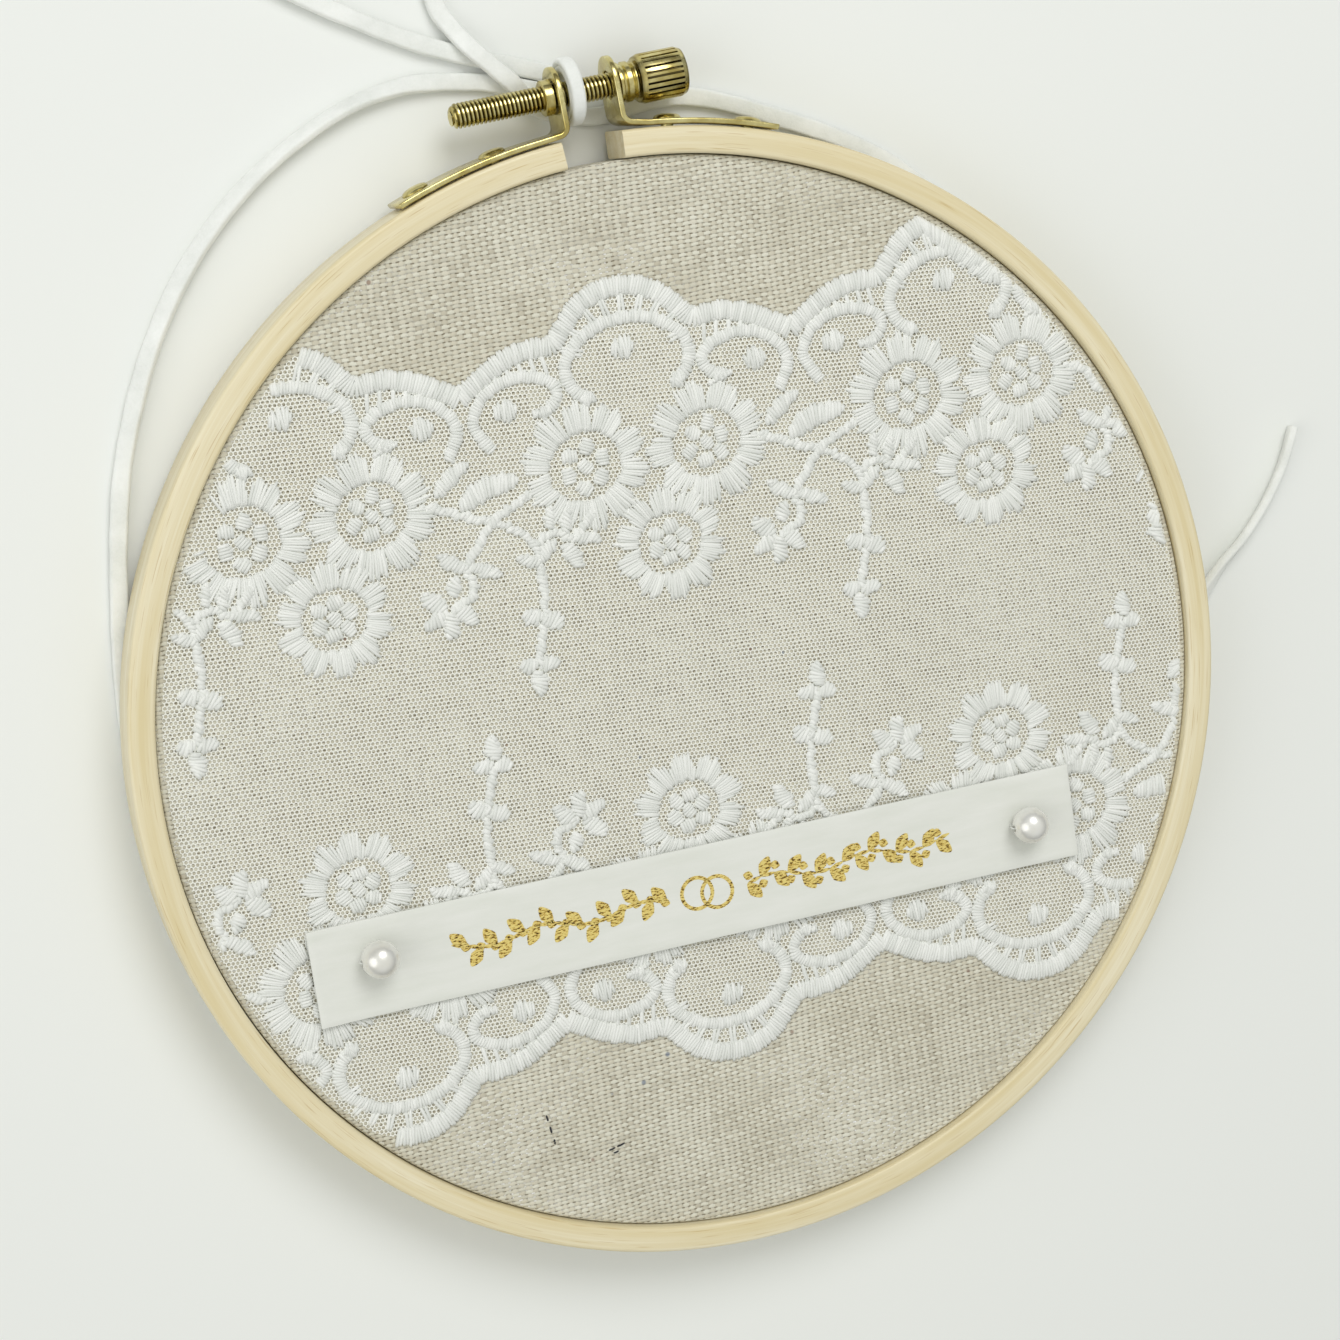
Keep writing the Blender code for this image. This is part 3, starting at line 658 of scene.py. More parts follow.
leaves = [  # from, to, width
    ((18.6, 37.0), (24.0, 40.2), 1.8), ((21.6, 34.9), (30.4, 36.8), 2.6), ((21.0, 26.3), (17.3, 28.8), 1.7),
    ((21.2, 26.2), (25.4, 24.1), 1.6), ((16.8, 21.4), (14.4, 24.2), 2.2), ((18.2, 23.0), (19.4, 25.2), 2.0),
    ((17.0, 21.0), (13.6, 19.6), 2.0), ((17.6, 20.6), (16.6, 17.2), 2.0), ((18.4, 21.0), (20.6, 18.4), 2.0),
    ((31.2, 24.6), (28.6, 26.4), 1.6), ((31.4, 25.2), (34.2, 27.0), 1.6),
    ((30.2, 17.2), (27.6, 18.2), 2.1), ((30.2, 16.8), (32.8, 15.4), 2.1),
    ((28.4, 10.8), (25.9, 11.2), 1.9), ((28.6, 10.6), (31.1, 10.0), 1.9), ((28.2, 9.8), (27.6, 6.6), 2.1),
    ((35.2, 26.4), (36.8, 23.0), 2.1), ((36.6, 27.2), (40.4, 25.8), 1.5), ((35.6, 28.2), (37.0, 31.0), 1.7),
    ((33.6, 29.2), (34.6, 32.0), 1.4), ((38.6, 28.6), (40.6, 30.2), 1.3), ((11.2, 44.2), (14.4, 45.0), 0.6)]
stems = [
    [(17.2, 35.8), (22.0, 33.4), (27.6, 30.8), (31.2, 27.2), (31.2, 24.0), (31.0, 20.0), (30.4, 17.0),
     (29.4, 13.6), (28.4, 10.8)],
    [(31.6, 34.4), (26.4, 32.2), (23.2, 29.0), (21.0, 26.3), (21.6, 23.4), (20.2, 21.8), (17.6, 21.0)],
    [(31.2, 27.2), (33.8, 28.6), (36.6, 27.2), (38.6, 28.4)]]
twisted = [[(16.2, 36.0), (22.6, 33.0), (27.4, 30.9)], [(31.8, 34.2), (29.2, 33.2), (26.2, 31.9)]]


def threadMaterial():                  # glossy white embroidery thread
    material = newMaterial("embroideryThread")
    tone = addNode("Attribute", attribute_name="tone", output="Fac")
    where = ownPlace()
    strands = noise(where, 3800.0, 2.0)
    colour = blendColours(tone, laceLook["shade"], laceLook["white"])
    setShader({"Base Color": colour, "Roughness": spread(strands, 0.3, 0.7, 0.5, 0.68), "Sheen Weight": 0.2,
               "Sheen Roughness": 0.4, "Specular IOR Level": 0.4, "Normal": bump(strands, 0.05 * mm, 0.6)})
    return material


def netMaterial():                     # fine hexagonal net; the holes are see-through
    look = laceLook
    material = newMaterial("cottonNet")
    where = ownPlace()
    where = mapped(where, (0, 0, radians(7)))
    total = None
    for k in range(3):
        angle = radians(60 * k + 30)
        size = 2 * pi / (look["net"] * sqrt(3) / 2)
        ridge = addNode("VectorMath", {0: where, 1: (cos(angle) * size, sin(angle) * size, 0)},
                        output="Value", operation="DOT_PRODUCT")
        ridge = maths("COSINE", ridge)
        total = ridge if total is None else maths("ADD", total, ridge)
    threads = spread(total, -0.36, -0.72)
    setShader({"Base Color": linear("#F1F1E9"), "Alpha": threads, "Roughness": 0.8})
    return material


def edgeAway(along):                   # how far out the net reaches: the middle of the outer band
    half = laceLook["repeat"] / 2
    offset = abs((along + half) % laceLook["repeat"] - half)
    for (x0, y0), (x1, y1) in zip(outerBand, outerBand[1:]):
        if offset <= x1:
            return y0 + (y1 - y0) * (offset - x0) / (x1 - x0)
    return outerBand[-1][1]


def onTrim(trim, x, y):                # a place in a trim's repeat, in metres from the hoop's centre
    turn = radians(trim["slope"])
    x, y = trim["way"] * x, trim["way"] * y
    return Vector((x * cos(turn) - y * sin(turn), x * sin(turn) + y * cos(turn) - trim["rise"])) * mm


def makeNet():
    columns, rows, reach = (laceLook[k] for k in ("columns", "rows", "reach"))
    upper, lower = laceLook["upper"], laceLook["lower"]
    corners = []
    for i in range(columns + 1):
        x = reach * cos(pi * (1 - i / columns))
        side = sqrt(max(0.0, reach * reach - x * x))
        top = min(side, edgeAt(upper, x))
        bottom = max(-side, edgeAt(lower, x))
        for k in range(rows + 1):
            y = bottom + (top - bottom) * k / rows
            corners.append(hoopCentre + Vector((x, y, clothTop + laceLook["lift"] + clothLift(x, y))))
    step = rows + 1
    faces = [(i * step + k, (i + 1) * step + k, (i + 1) * step + k + 1, i * step + k + 1)
             for i in range(columns) for k in range(rows)]
    net = meshPiece("laceNet", corners, faces)
    cleanMesh(net)
    return finishPiece(net, netMaterial(), "inner_hoop_body", "lace", "lace_overlay", angle=60)


def edgeAt(trim, x):
    turn = radians(trim["slope"])
    along = x / mm
    for _ in range(3):
        away = edgeAway(along * trim["way"] - trim["centre"])
        along = (x / mm + trim["way"] * away * sin(turn)) / cos(turn)
    return (along * sin(turn) + trim["way"] * away * cos(turn)) * mm - trim["rise"] * mm


def satin(line, width, pitch=0.42, lean=0.0, height=1.0, ragged=0.16):  # stitches side by side
    points = smoothLine([Vector(p) for p in line], pitch)
    made = []
    for i in range(len(points) - 1):
        a, b = points[i], points[i + 1]
        along = (b - a).normalized()
        across = Vector((-along.y, along.x))
        share = (i + 0.5) / (len(points) - 1)
        half = (width(share) if callable(width) else width) / 2
        middle = (a + b) / 2
        one, two = (half + chance.uniform(-ragged, ragged) for end in range(2))
        skew = along * (lean + chance.uniform(-0.13, 0.13))
        made.append((middle - across * one - skew, middle + across * two + skew,
                     pitch * chance.uniform(1.25, 1.6), height * chance.uniform(0.85, 1.2)))
    return made


def leaf(start, end, width):
    start, end = Vector(start), Vector(end)
    bow = (end - start).orthogonal() * 0.08
    return satin([start, (start + end) / 2 + bow, end],
                 lambda t: width * (0.5 + 0.8 * sin(pi * min(t * 1.05, 1)) ** 0.7), 0.5, 0.3, 1.3, 0.25)


def knot(centre, size, turn):          # a lump of short parallel stitches
    direction = Vector((cos(turn), sin(turn)))
    across = Vector((-direction.y, direction.x))
    made = []
    for k in range(5):
        offset = (k - 2) * size * 0.19
        one, two = (size / 2 * (1 - 0.14 * abs(k - 2)) + chance.uniform(-0.2, 0.2) for end in range(2))
        middle = Vector(centre) + across * offset
        made.append((middle - direction * one, middle + direction * two, size * 0.25,
                     chance.uniform(1.1, 1.5)))
    return made


def flower(centre, outer, inner, petals):
    centre = Vector(centre)
    made, total = [], 104
    for k in range(total):
        turn = 2 * pi * k / total
        inPetal = (k / total * petals) % 1 - 0.5
        edge = abs(inPetal) * 2
        near = inner * (1 + 0.06 * sin(2 * turn + 1)) + chance.uniform(-0.25, 0.25)
        far = outer * (1 - 0.05 * edge ** 2) - 1.7 * edge ** 7 + chance.uniform(-0.6, 0.35)
        bend = turn - inPetal * 0.07 + chance.uniform(-0.02, 0.02)
        a = centre + Vector((cos(turn), sin(turn))) * near
        b = centre + Vector((cos(bend), sin(bend))) * far
        made.append((a, b, chance.uniform(0.44, 0.56), 0.8 + 0.45 * chance.random()))
    made += knot(centre, 2.1, 0.6)
    for k in range(6):
        turn = 2 * pi * k / 6 + 0.3
        spot = centre + Vector((cos(turn), sin(turn))) * inner * chance.uniform(0.5, 0.6)
        made += knot(spot, 2.3, turn * 1.7 + chance.uniform(-0.6, 0.6))
    return made


def oneRepeat():                       # one repeat's stitches in mm: x along the trim, y outwards
    mirror = [(-x, y) for x, y in outerBand[1:]][::-1]
    made = satin(mirror + outerBand, 2.9, 0.42, 0.1, 1.25, 0.17)
    made += satin(bigArc + [(-x, y) for x, y in bigArc[:-1]][::-1], 1.9, 0.42, 0.1, 1.1)
    for way in (1, -1):
        made += satin([(x * way, y) for x, y in smallArc], 1.8, 0.42, 0.1, 1.1)
    for k in range(-4, 5):             # bars across the open ladder between the two bands
        angle = radians(k * 17.5 + 4 + chance.uniform(-2, 2))
        base = Vector((0, 49.4))
        ray, side = Vector((sin(angle), cos(angle))), Vector((cos(angle), -sin(angle)))
        for shift in (-0.2, 0.2):
            made.append((base + ray * 6.6 + side * shift * 1.7, base + ray * 10.0 + side * shift, 0.5, 0.9))
    for way in (1, -1):
        for k in range(7):
            x = (11.6 + k * 1.75 + chance.uniform(-0.15, 0.15)) * way
            made.append((Vector((x, 50.0 - 0.12 * k)), Vector((x + 0.5 * way, 53.4 - 0.4 * k)), 0.62, 0.9))
    for x, y, wide, tall in dots:
        for k in range(8):
            offset = (k - 3.5) / 4
            half = sqrt(1 - offset ** 2) * tall + chance.uniform(-0.15, 0.3)
            lean = chance.uniform(-0.3, 0.3)
            middle = x + offset * wide
            made.append((Vector((middle - lean, y - half)), Vector((middle + lean, y + half)), 0.55,
                         chance.uniform(1.1, 1.5)))
    for number, (x, y, outer, inner) in enumerate(flowers):
        made += flower((x, y), outer, inner, 10 - number % 2)
    for start, end, width in leaves:
        made += leaf(start, end, width)
    for line in stems:
        made += satin(line, 1.15, 0.6, 0.35, 1.1, 0.3)
    for line in twisted:
        made += satin(line, 0.55, 0.5, 0.45, 0.8, 0.1)
    return made


def makeTrim(name, trim, stitches):    # the repeat, copied along the lace and cut off at the hoop
    profile = ((0.0, 0.55, 0.05), (0.16, 1.0, 0.8), (0.84, 1.0, 0.8), (1.0, 0.55, 0.05))
    corners, faces, tones = [], [], []
    for copy in (-2, -1, 0, 1, 2):
        shift = trim["centre"] + copy * laceLook["repeat"]
        for a, b, width, height in stitches:
            start, end = (onTrim(trim, p.x + shift, p.y) for p in (a, b))
            farthest, limit = max(start.length, end.length), laceLook["limit"]
            over = farthest - limit - 0.4 * mm
            room = (5 if start.y > 38 * mm else 3) * mm if start.x > 38 * mm and start.y > -25 * mm else 0
            if 0 < over < room:        # on the right the lace is pressed in by the hoop, not cut
                inward = (start + end).normalized() * over
                start, end = start - inward, end - inward
                farthest = max(start.length, end.length)
            middle = (start + end) / 2
            if middle.length > limit or farthest > limit + 0.5 * mm:
                continue
            along = end - start
            across = Vector((-along.y, along.x)).normalized() * (width * mm / 2)
            base = clothTop + 0.14 * mm + clothLift(middle.x, middle.y)
            top = laceLook["height"] * height * (0.9 + 0.2 * chance.random())
            first, tone = len(corners), chance.random()
            for t, w, h in profile:
                spot = start + along * t
                for side, up in ((-1, 0), (-0.55, 1), (0.55, 1), (1, 0)):
                    corners.append(Vector((spot.x + across.x * side * w, spot.y + across.y * side * w,
                                           base + top * h * up)) + hoopCentre)
                    tones.append(tone)
            for r in range(3):
                for k in range(4):
                    one, two = first + r * 4 + k, first + r * 4 + (k + 1) % 4
                    faces.append((one, one + 4, two + 4, two))
            faces += [tuple(range(first, first + 4)), tuple(range(first + 15, first + 11, -1))]
    obj = meshPiece(name, corners, faces)
    attribute = obj.data.attributes.new("tone", "FLOAT", "POINT")
    attribute.data.foreach_set("value", tones)
    faceOut(obj)
    return obj


def makeLace():
    net = makeNet()
    material = threadMaterial()
    stitches = oneRepeat()
    for name in ("upper", "lower"):
        obj = makeTrim(name + "Trim", laceLook[name], stitches)
        finishPiece(obj, material, "inner_hoop_body", "lace", angle=75)


# Label: a white ribbon with a gold-foil ornament

labelLook = {"length": 116 * mm, "width": 14 * mm, "thickness": 0.36 * mm, "centre": (-4.6, -27.2),
             "turn": -3.0, "white": "#E8E9E3", "shade": "#E1E3DB", "gold": "#F4DF8A", "deepGold": "#D0A848",
             "brown": "#4C3914"}
pearlPlaces = ((-48.7, 1.6), (50.0, -0.2))


def labelTop(x, y):                    # along and across the label, in metres, above the cloth
    lift = 1.32 + 0.10 * sin(x / mm / 17 + 0.8) + 0.05 * sin(x / mm / 7 + y / mm / 5)
    lift += 0.35 * max(0.0, (abs(x) / mm - 49) / 9) ** 2 * (1 if x < 0 else 0.6)
    for px, py in pearlPlaces:
        lift -= 0.26 * exp(-((x / mm - px) ** 2 + (y / mm - py) ** 2) / 5.0)
    return lift * mm


def onLabel(obj):                      # lays a piece modelled flat onto the label
    for v in obj.data.vertices:
        v.co.z += labelTop(v.co.x, v.co.y)
    centre = Vector((*labelLook["centre"], 0)) * mm
    place(obj, (0, 0, labelLook["turn"]), hoopCentre + centre + Vector((0, 0, clothTop)))


def ribbonMaterial():                  # white ribbon with a faint fibrous weave
    look = labelLook
    material = newMaterial("whiteRibbon")
    where = ownPlace()
    where = mapped(where, (0, 0, radians(-look["turn"])))
    fine = noise(mapped(where, scale=(700, 3600, 700)), 1.0, 4.0, 0.6)
    broad = noise(mapped(where, scale=(90, 420, 90)), 1.0, 3.0, 0.6)
    colour = blendColours(spread(broad, 0.3, 0.7), look["shade"], look["white"])
    relief = maths("MULTIPLY_ADD", broad, 0.7, fine)
    setShader({"Base Color": colour, "Roughness": 0.62, "Sheen Weight": 0.15,
               "Normal": bump(relief, 0.04 * mm, 0.4)})
    return material


def foilMaterial():                    # crinkled gold foil, its folds showing dark
    look = labelLook
    material = newMaterial("goldFoil")
    where = ownPlace()
    where = mapped(where, (0, 0, radians(38)), (1500, 4200, 1500))
    crinkle = noise(where, 1.0, 4.0, 0.65)
    colour = blendColours(spread(crinkle, 0.4, 0.45), look["brown"], look["deepGold"])
    colour = blendColours(spread(crinkle, 0.45, 0.52), colour, look["gold"])
    setShader({"Base Color": colour, "Metallic": 0.55, "Roughness": 0.32,
               "Normal": bump(crinkle, 0.10 * mm, 0.8)})
    return material


def makeLabel():
    look = labelLook
    label = primitive("grid", "ribbonLabel", x_subdivisions=116, y_subdivisions=16, size=1)
    label.scale = (look["length"], look["width"], 1)
    bpy.ops.object.transform_apply()
    onLabel(label)
    modify(label, "SOLIDIFY", thickness=look["thickness"], offset=-1)
    modify(label, "BEVEL", width=0.07 * mm, segments=2, limit_method="ANGLE", angle_limit=radians(50))
    finishPiece(label, ribbonMaterial(), "inner_hoop_body", "label", "label_strip", angle=50)
    ornament = makeOrnament()
    print("label made")


def flatLeaf(long, wide):              # a small pointed leaf of foil
    obj = primitive("circle", "foilLeaf", vertices=20, radius=0.5, fill_type="NGON")
    setMode("EDIT")
    extrude("region", (0, 0, 0.03 * mm))
    setMode("OBJECT")
    for v in obj.data.vertices:
        v.co.y *= 1.15 - 0.9 * abs(v.co.x)
        v.co.x, v.co.y = v.co.x * long + long / 2, v.co.y * wide * 1.25
    return obj


def flatRing(radius, width, at):
    obj = primitive("circle", "foilRing", vertices=48, radius=radius - width / 2,
                    location=(at[0], at[1], 0))
    setMode("EDIT")
    selectMesh()
    wider = (radius + width / 2) / (radius - width / 2)
    extrude("edges", (0, 0, 0), (wider, wider, 1), center_override=(at[0], at[1], 0))
    setMode("OBJECT")
    cleanMesh(obj)
    modify(obj, "SOLIDIFY", thickness=0.03 * mm, offset=0)
    return obj


def makeOrnament():                    # two linked rings between two leafy sprays; no lettering
    pieces = [flatRing(2.3 * mm, 0.55 * mm, (1.5 * way * mm, -0.2 * way * mm)) for way in (-1, 1)]
    big, small = flatLeaf(3.1 * mm, 1.35 * mm), flatLeaf(1.3 * mm, 1.1 * mm)
    stem = flatLeaf(2.3 * mm, 0.42 * mm)
    for way in (-1, 1):
        for k in range(15):
            x = (6.2 + k * 2.12) * way
            y = 0.75 * sin(k * 0.9)
            slope = degrees(atan(0.75 * cos(k * 0.9 + 0.45) * 0.9 / 2.12))
            base = 0 if way > 0 else 180
            lean = (52 + 8 * sin(k * 1.7)) * (1 if k % 2 else -1)
            side = -1 if k % 2 else 1
            for obj, turn, up in ((stem, slope * way, y), (big, lean, y),
                                  (small, 70 * side, y + 0.5 * side)):
                pieces.append(place(copyOf(obj), (0, 0, base + turn), (x * mm, up * mm, 0)))
    for obj in (big, small, stem):
        bpy.data.objects.remove(obj)
    ornament = joinAll("foilOrnament", pieces)
    for v in ornament.data.vertices:
        v.co.z += 0.015 * mm
    onLabel(ornament)
    return finishPiece(ornament, foilMaterial(), "inner_hoop_body", "label")


# Pearls and the threads that hold them

pearlLook = {"radius": 2.7 * mm, "bore": 0.5 * mm, "sit": 0.12 * mm, "thread": 0.16 * mm, "reach": 3.1}


def pearlMaterial():                   # pearlescent bead, its rim darkened by viewing angle as painted shade
    material = newMaterial("pearlescent")
    where = ownPlace()
    cloudy = noise(where, 420.0, 3.0)
    edge = addNode("LayerWeight", {"Blend": 0.35}, output="Facing")
    colour = blendColours(spread(cloudy, 0.3, 0.7), "#ECEAE2", "#F3F3F0")
    # painted shade: the colour darkens towards the rim as the surface turns away from view
    colour = blendColours(maths("POWER", edge, 2.0), colour, "#DAD8D0")
    setShader({"Base Color": colour, "Metallic": 0.5, "Roughness": 0.3, "Coat Weight": 1.0,
               "Coat Roughness": 0.06, "Sheen Weight": 0.15, "Normal": bump(cloudy, 0.02 * mm, 0.4)})
    return material


def makePearls():
    look = pearlLook
    material, white = pearlMaterial(), threadMaterial()
    turn = radians(labelLook["turn"])
    for side, (x, y) in zip(("left", "right"), pearlPlaces):
        pearl = primitive("uv_sphere", side + "Pearl", segments=48, ring_count=32, radius=look["radius"])
        setMode("EDIT")
        pick("FACE", lambda c, f: hypot(c.x, c.y) < look["bore"] * 0.9)
        bpy.ops.mesh.delete(type="FACE")
        pick("EDGE", lambda c, e: e.is_boundary and c.z > 0)
        extrude("edges", (0, 0, -0.25 * mm), (0.8, 0.8, 1))
        pick("EDGE", lambda c, e: e.is_boundary and c.z < 0)
        extrude("edges", (0, 0, 0.25 * mm), (0.8, 0.8, 1))
        pick("EDGE", lambda c, e: e.is_boundary)
        bpy.ops.mesh.bridge_edge_loops()
        setMode("OBJECT")
        cleanMesh(pearl)
        spot = Vector(labelLook["centre"]) * mm + Matrix.Rotation(turn, 2) @ (Vector((x, y)) * mm)
        seat = clothTop + labelTop(x * mm, y * mm) + look["sit"]
        middle = hoopCentre + Vector((spot.x, spot.y, seat + look["radius"]))
        place(pearl, (0, 90, 0))
        place(pearl, (0, 0, labelLook["turn"]), middle)
        finishPiece(pearl, material, "inner_hoop_body", "pearl", "pearl_" + side)
        deep = rimTop - 0.5 * mm - middle.z
        reach = look["reach"] * mm
        half = [(1.0 * mm, deep), (reach - 1.2 * mm, deep + 0.1 * mm), (reach - 1.1 * mm, deep + 1.0 * mm),
                (reach - 0.95 * mm, -2.1 * mm), (reach - 0.5 * mm, -1.2 * mm),
                (reach - 0.36 * mm, -0.35 * mm), (2.3 * mm, -0.03 * mm)]
        line = [(-a, b) for a, b in half] + [(0, 0)] + half[::-1] + [(0, deep - 0.05 * mm)]
        thread = roundThread(side + "PearlThread", [Vector((a, 0, b)) for a, b in line], look["thread"])
        place(thread, (0, 0, labelLook["turn"]), middle)
        knotPiece = backKnot(side + "Knot", middle + Vector((0, 0, deep - 0.1 * mm)))
        thread = joinAll(side + "PearlThread", [thread, knotPiece])
        finishPiece(thread, white, "inner_hoop_body", "thread", "pearl_thread_" + side)
    print("pearls made")


def roundThread(name, points, radius):
    line = smoothLine(points, 0.25 * mm)
    corners, sides = [], 8
    for i, point in enumerate(line):
        along = (line[min(i + 1, len(line) - 1)] - line[max(i - 1, 0)]).normalized()
        across = along.cross(Vector((0, 1, 0))).normalized()
        over = along.cross(across)
        for k in range(sides):
            angle = 2 * pi * k / sides
            swell = radius * (1 + 0.12 * cos(2 * angle))
            corners.append(point + (across * cos(angle) + over * sin(angle)) * swell)
    return tube(name, corners, sides)


def backKnot(name, at):                # the tied end behind the cloth
    rings = [primitive("torus", name, major_segments=18, minor_segments=8, major_radius=radius * mm,
                       minor_radius=0.2 * mm, location=at + Vector((aside * mm, 0, 0)), rotation=turn)
             for radius, aside, turn in ((0.42, 0, (0.4, 0.2, 0)), (0.36, 0.2, (1.2, 0.5, 0)))]
    return joinAll(name, rings)


# Brass: two brackets, four rivets, and the thumbscrew with its bush and ferrule

brassLook = {"bright": "#E2D89E", "deep": "#B9A865", "paintedGrooveShade": "#3F3113", "plate": 0.8 * mm,
             "bend": 1.6 * mm, "hole": 2.0 * mm, "pitch": 0.6 * mm, "threadDepth": 0.3 * mm, "ribs": 26,
             "ribDepth": 0.5 * mm, "low": 2.5 * mm, "high": 10.0 * mm, "inside": 81.3 * mm, "bendAngle": 78,
             "stripEnd": 19.8, "earCorner": 3.5 * mm, "rivetAngles": (9.0, 17.3), "rivetSeat": 80.9 * mm}
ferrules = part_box("screw_ferrule")
screwAxis = Vector((0, (ferrules[0].y + ferrules[1].y) / 2, (ferrules[0].z + ferrules[1].z) / 2))


def brassMaterial():                   # polished brass plate, faintly scratched and clouded, with painted shade in the thread and rib grooves
    look = brassLook
    material = newMaterial("polishedBrass")
    where = ownPlace()
    clouds = noise(where, 330.0, 4.0, 0.6)
    scratches = noise(mapped(where, (0.3, 0.2, 0.7), (900, 9000, 900)), 1.0, 2.0)
    colour = blendColours(spread(clouds, 0.35, 0.65), look["deep"], look["bright"])
    parts = addNode("SeparateXYZ", {"Vector": where}).node.outputs
    away = [maths("SUBTRACT", parts[k], screwAxis[k]) for k in (1, 2)]
    away = maths("SQRT", maths("ADD", *[times(a, a) for a in away]))
    low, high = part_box("thumbscrew_head")
    radius = (high.y - low.y) / 2
    thread = times(spread(away, 1.2 * mm, 1.32 * mm), spread(away, 1.5 * mm, 1.68 * mm, 1, 0))
    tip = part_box("thumbscrew_shank")[0].x
    thread = times(thread, spread(parts[0], tip + 0.4 * mm, tip + 1.0 * mm))
    rib = times(spread(away, radius - 0.62 * mm, radius - 0.5 * mm),
                spread(away, radius - 0.34 * mm, radius - 0.14 * mm, 1, 0))
    rib = times(rib, spread(parts[0], low.x, low.x + 0.1 * mm))
    # painted shade: the thread and rib grooves are darkened towards dark brown
    grooves = times(maths("ADD", thread, rib), 0.85)
    colour = blendColours(grooves, colour, look["paintedGrooveShade"])
    relief = maths("MULTIPLY_ADD", scratches, 0.25, clouds)
    setShader({"Base Color": colour, "Metallic": 1.0, "Roughness": spread(clouds, 0.3, 0.7, 0.16, 0.3),
               "Normal": bump(relief, 0.03 * mm, 0.5)})
    return material


def turned(name, profile, sides=48):   # a lathe piece: each pair is a height and a radius
    obj = primitive("circle", name, vertices=sides, radius=profile[0][1], fill_type="NGON",
                    location=(0, 0, profile[0][0]))
    setMode("EDIT")
    selectMesh()
    for (low, narrow), (high, wide) in zip(profile, profile[1:]):
        extrude("region", (0, 0, high - low), (wide / narrow, wide / narrow, 1),
                center_override=(0, 0, high))
    setMode("OBJECT")
    cleanMesh(obj)
    return obj


def onScrew(obj):                      # from upright onto the screw's axis
    place(obj, (0, 90, 0))
    place(obj, at=screwAxis)


def makeBracket(side, material):
    look = brassLook
    way = -1 if side == "left" else 1
    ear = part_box("bracket_" + side)
    inside, plate = look["inside"], look["plate"]
    earX = (ear[1].x if way < 0 else ear[0].x) + way * plate / 2
    top = ear[1].y - hoopCentre.y
    foot = inside + plate + look["bend"] * 0.6
    bend = radians(look["bendAngle"])
    bracket = primitive("cube", side + "Bracket", size=1)
    bracket.scale = (plate, top - foot, look["high"] - look["low"])
    bracket.location = (earX, (top + foot) / 2, (look["high"] + look["low"]) / 2)
    bpy.ops.object.transform_apply()
    setMode("EDIT")
    pick("EDGE", lambda c, e: c.y > top - 0.1 * mm and abs(e.verts[0].co.x - e.verts[1].co.x) > plate * 0.5)
    bpy.ops.mesh.bevel(offset=look["earCorner"], segments=10, affect="EDGES")
    pick("FACE", lambda c, f: f.normal.y < -0.9)
    bendAt = Vector((earX + way * (plate / 2 + look["bend"] * 0.6), foot, 0))
    bpy.ops.mesh.spin(steps=8, dupli=False, angle=-bend * way, center=bendAt, axis=(0, 0, 1))
    middle = bendAt + Matrix.Rotation(bend * way, 3, "Z") @ (Vector((earX, foot, 0)) - bendAt)
    startAngle = degrees(atan2(abs(middle.x), middle.y))
    bpy.ops.mesh.spin(steps=26, dupli=False, angle=radians(look["stripEnd"] - startAngle) * way,
                      center=(0, 0, 0), axis=(0, 0, 1))
    setMode("OBJECT")
    cleanMesh(bracket)
    aim = inside + plate / 2
    for v in bracket.data.vertices:    # the strip hugs the hoop from the end of its bend
        angle = degrees(atan2(abs(v.co.x), v.co.y))
        if angle > startAngle - 0.2:
            v.co.xy = v.co.xy * (1 + (aim / middle.length - 1) * min(1, (angle - startAngle + 0.2) / 2.0))
    cutter = primitive("cylinder", "earHole", vertices=40, radius=look["hole"], depth=4 * plate,
                       rotation=(0, pi / 2, 0), location=(earX, screwAxis.y - hoopCentre.y, screwAxis.z))
    modify(bracket, "BOOLEAN", operation="DIFFERENCE", object=cutter, solver="EXACT")
    bpy.data.objects.remove(cutter)
    modify(bracket, "BEVEL", width=0.2 * mm, segments=3, limit_method="ANGLE", angle_limit=radians(50))
    place(bracket, at=hoopCentre)
    return finishPiece(bracket, material, "outer_hoop_body", "brass", "bracket_" + side)


def makeRivets(material):
    low = [(0.0, 0.9), (1.2, 0.9), (1.2, 1.94), (1.34, 1.95), (1.62, 1.74), (1.80, 1.3), (1.90, 0.7),
           (1.93, 0.2)]
    rivet = turned("rivet", [(h * mm, r * mm) for h, r in low], 32)
    middle = (brassLook["low"] + brassLook["high"]) / 2
    for side, way in (("left", 1), ("right", -1)):
        for number, angle in enumerate(brassLook["rivetAngles"], 1):
            new = copyOf(rivet)
            new.name = side + "Rivet" + str(number)
            place(new, (-90, 0, 0), (0, brassLook["rivetSeat"], middle))
            place(new, (0, 0, angle * way))
            place(new, at=hoopCentre)
            finishPiece(new, material, "outer_hoop_body", "brass", "rivet_" + side + "_" + str(number))
    bpy.data.objects.remove(rivet)


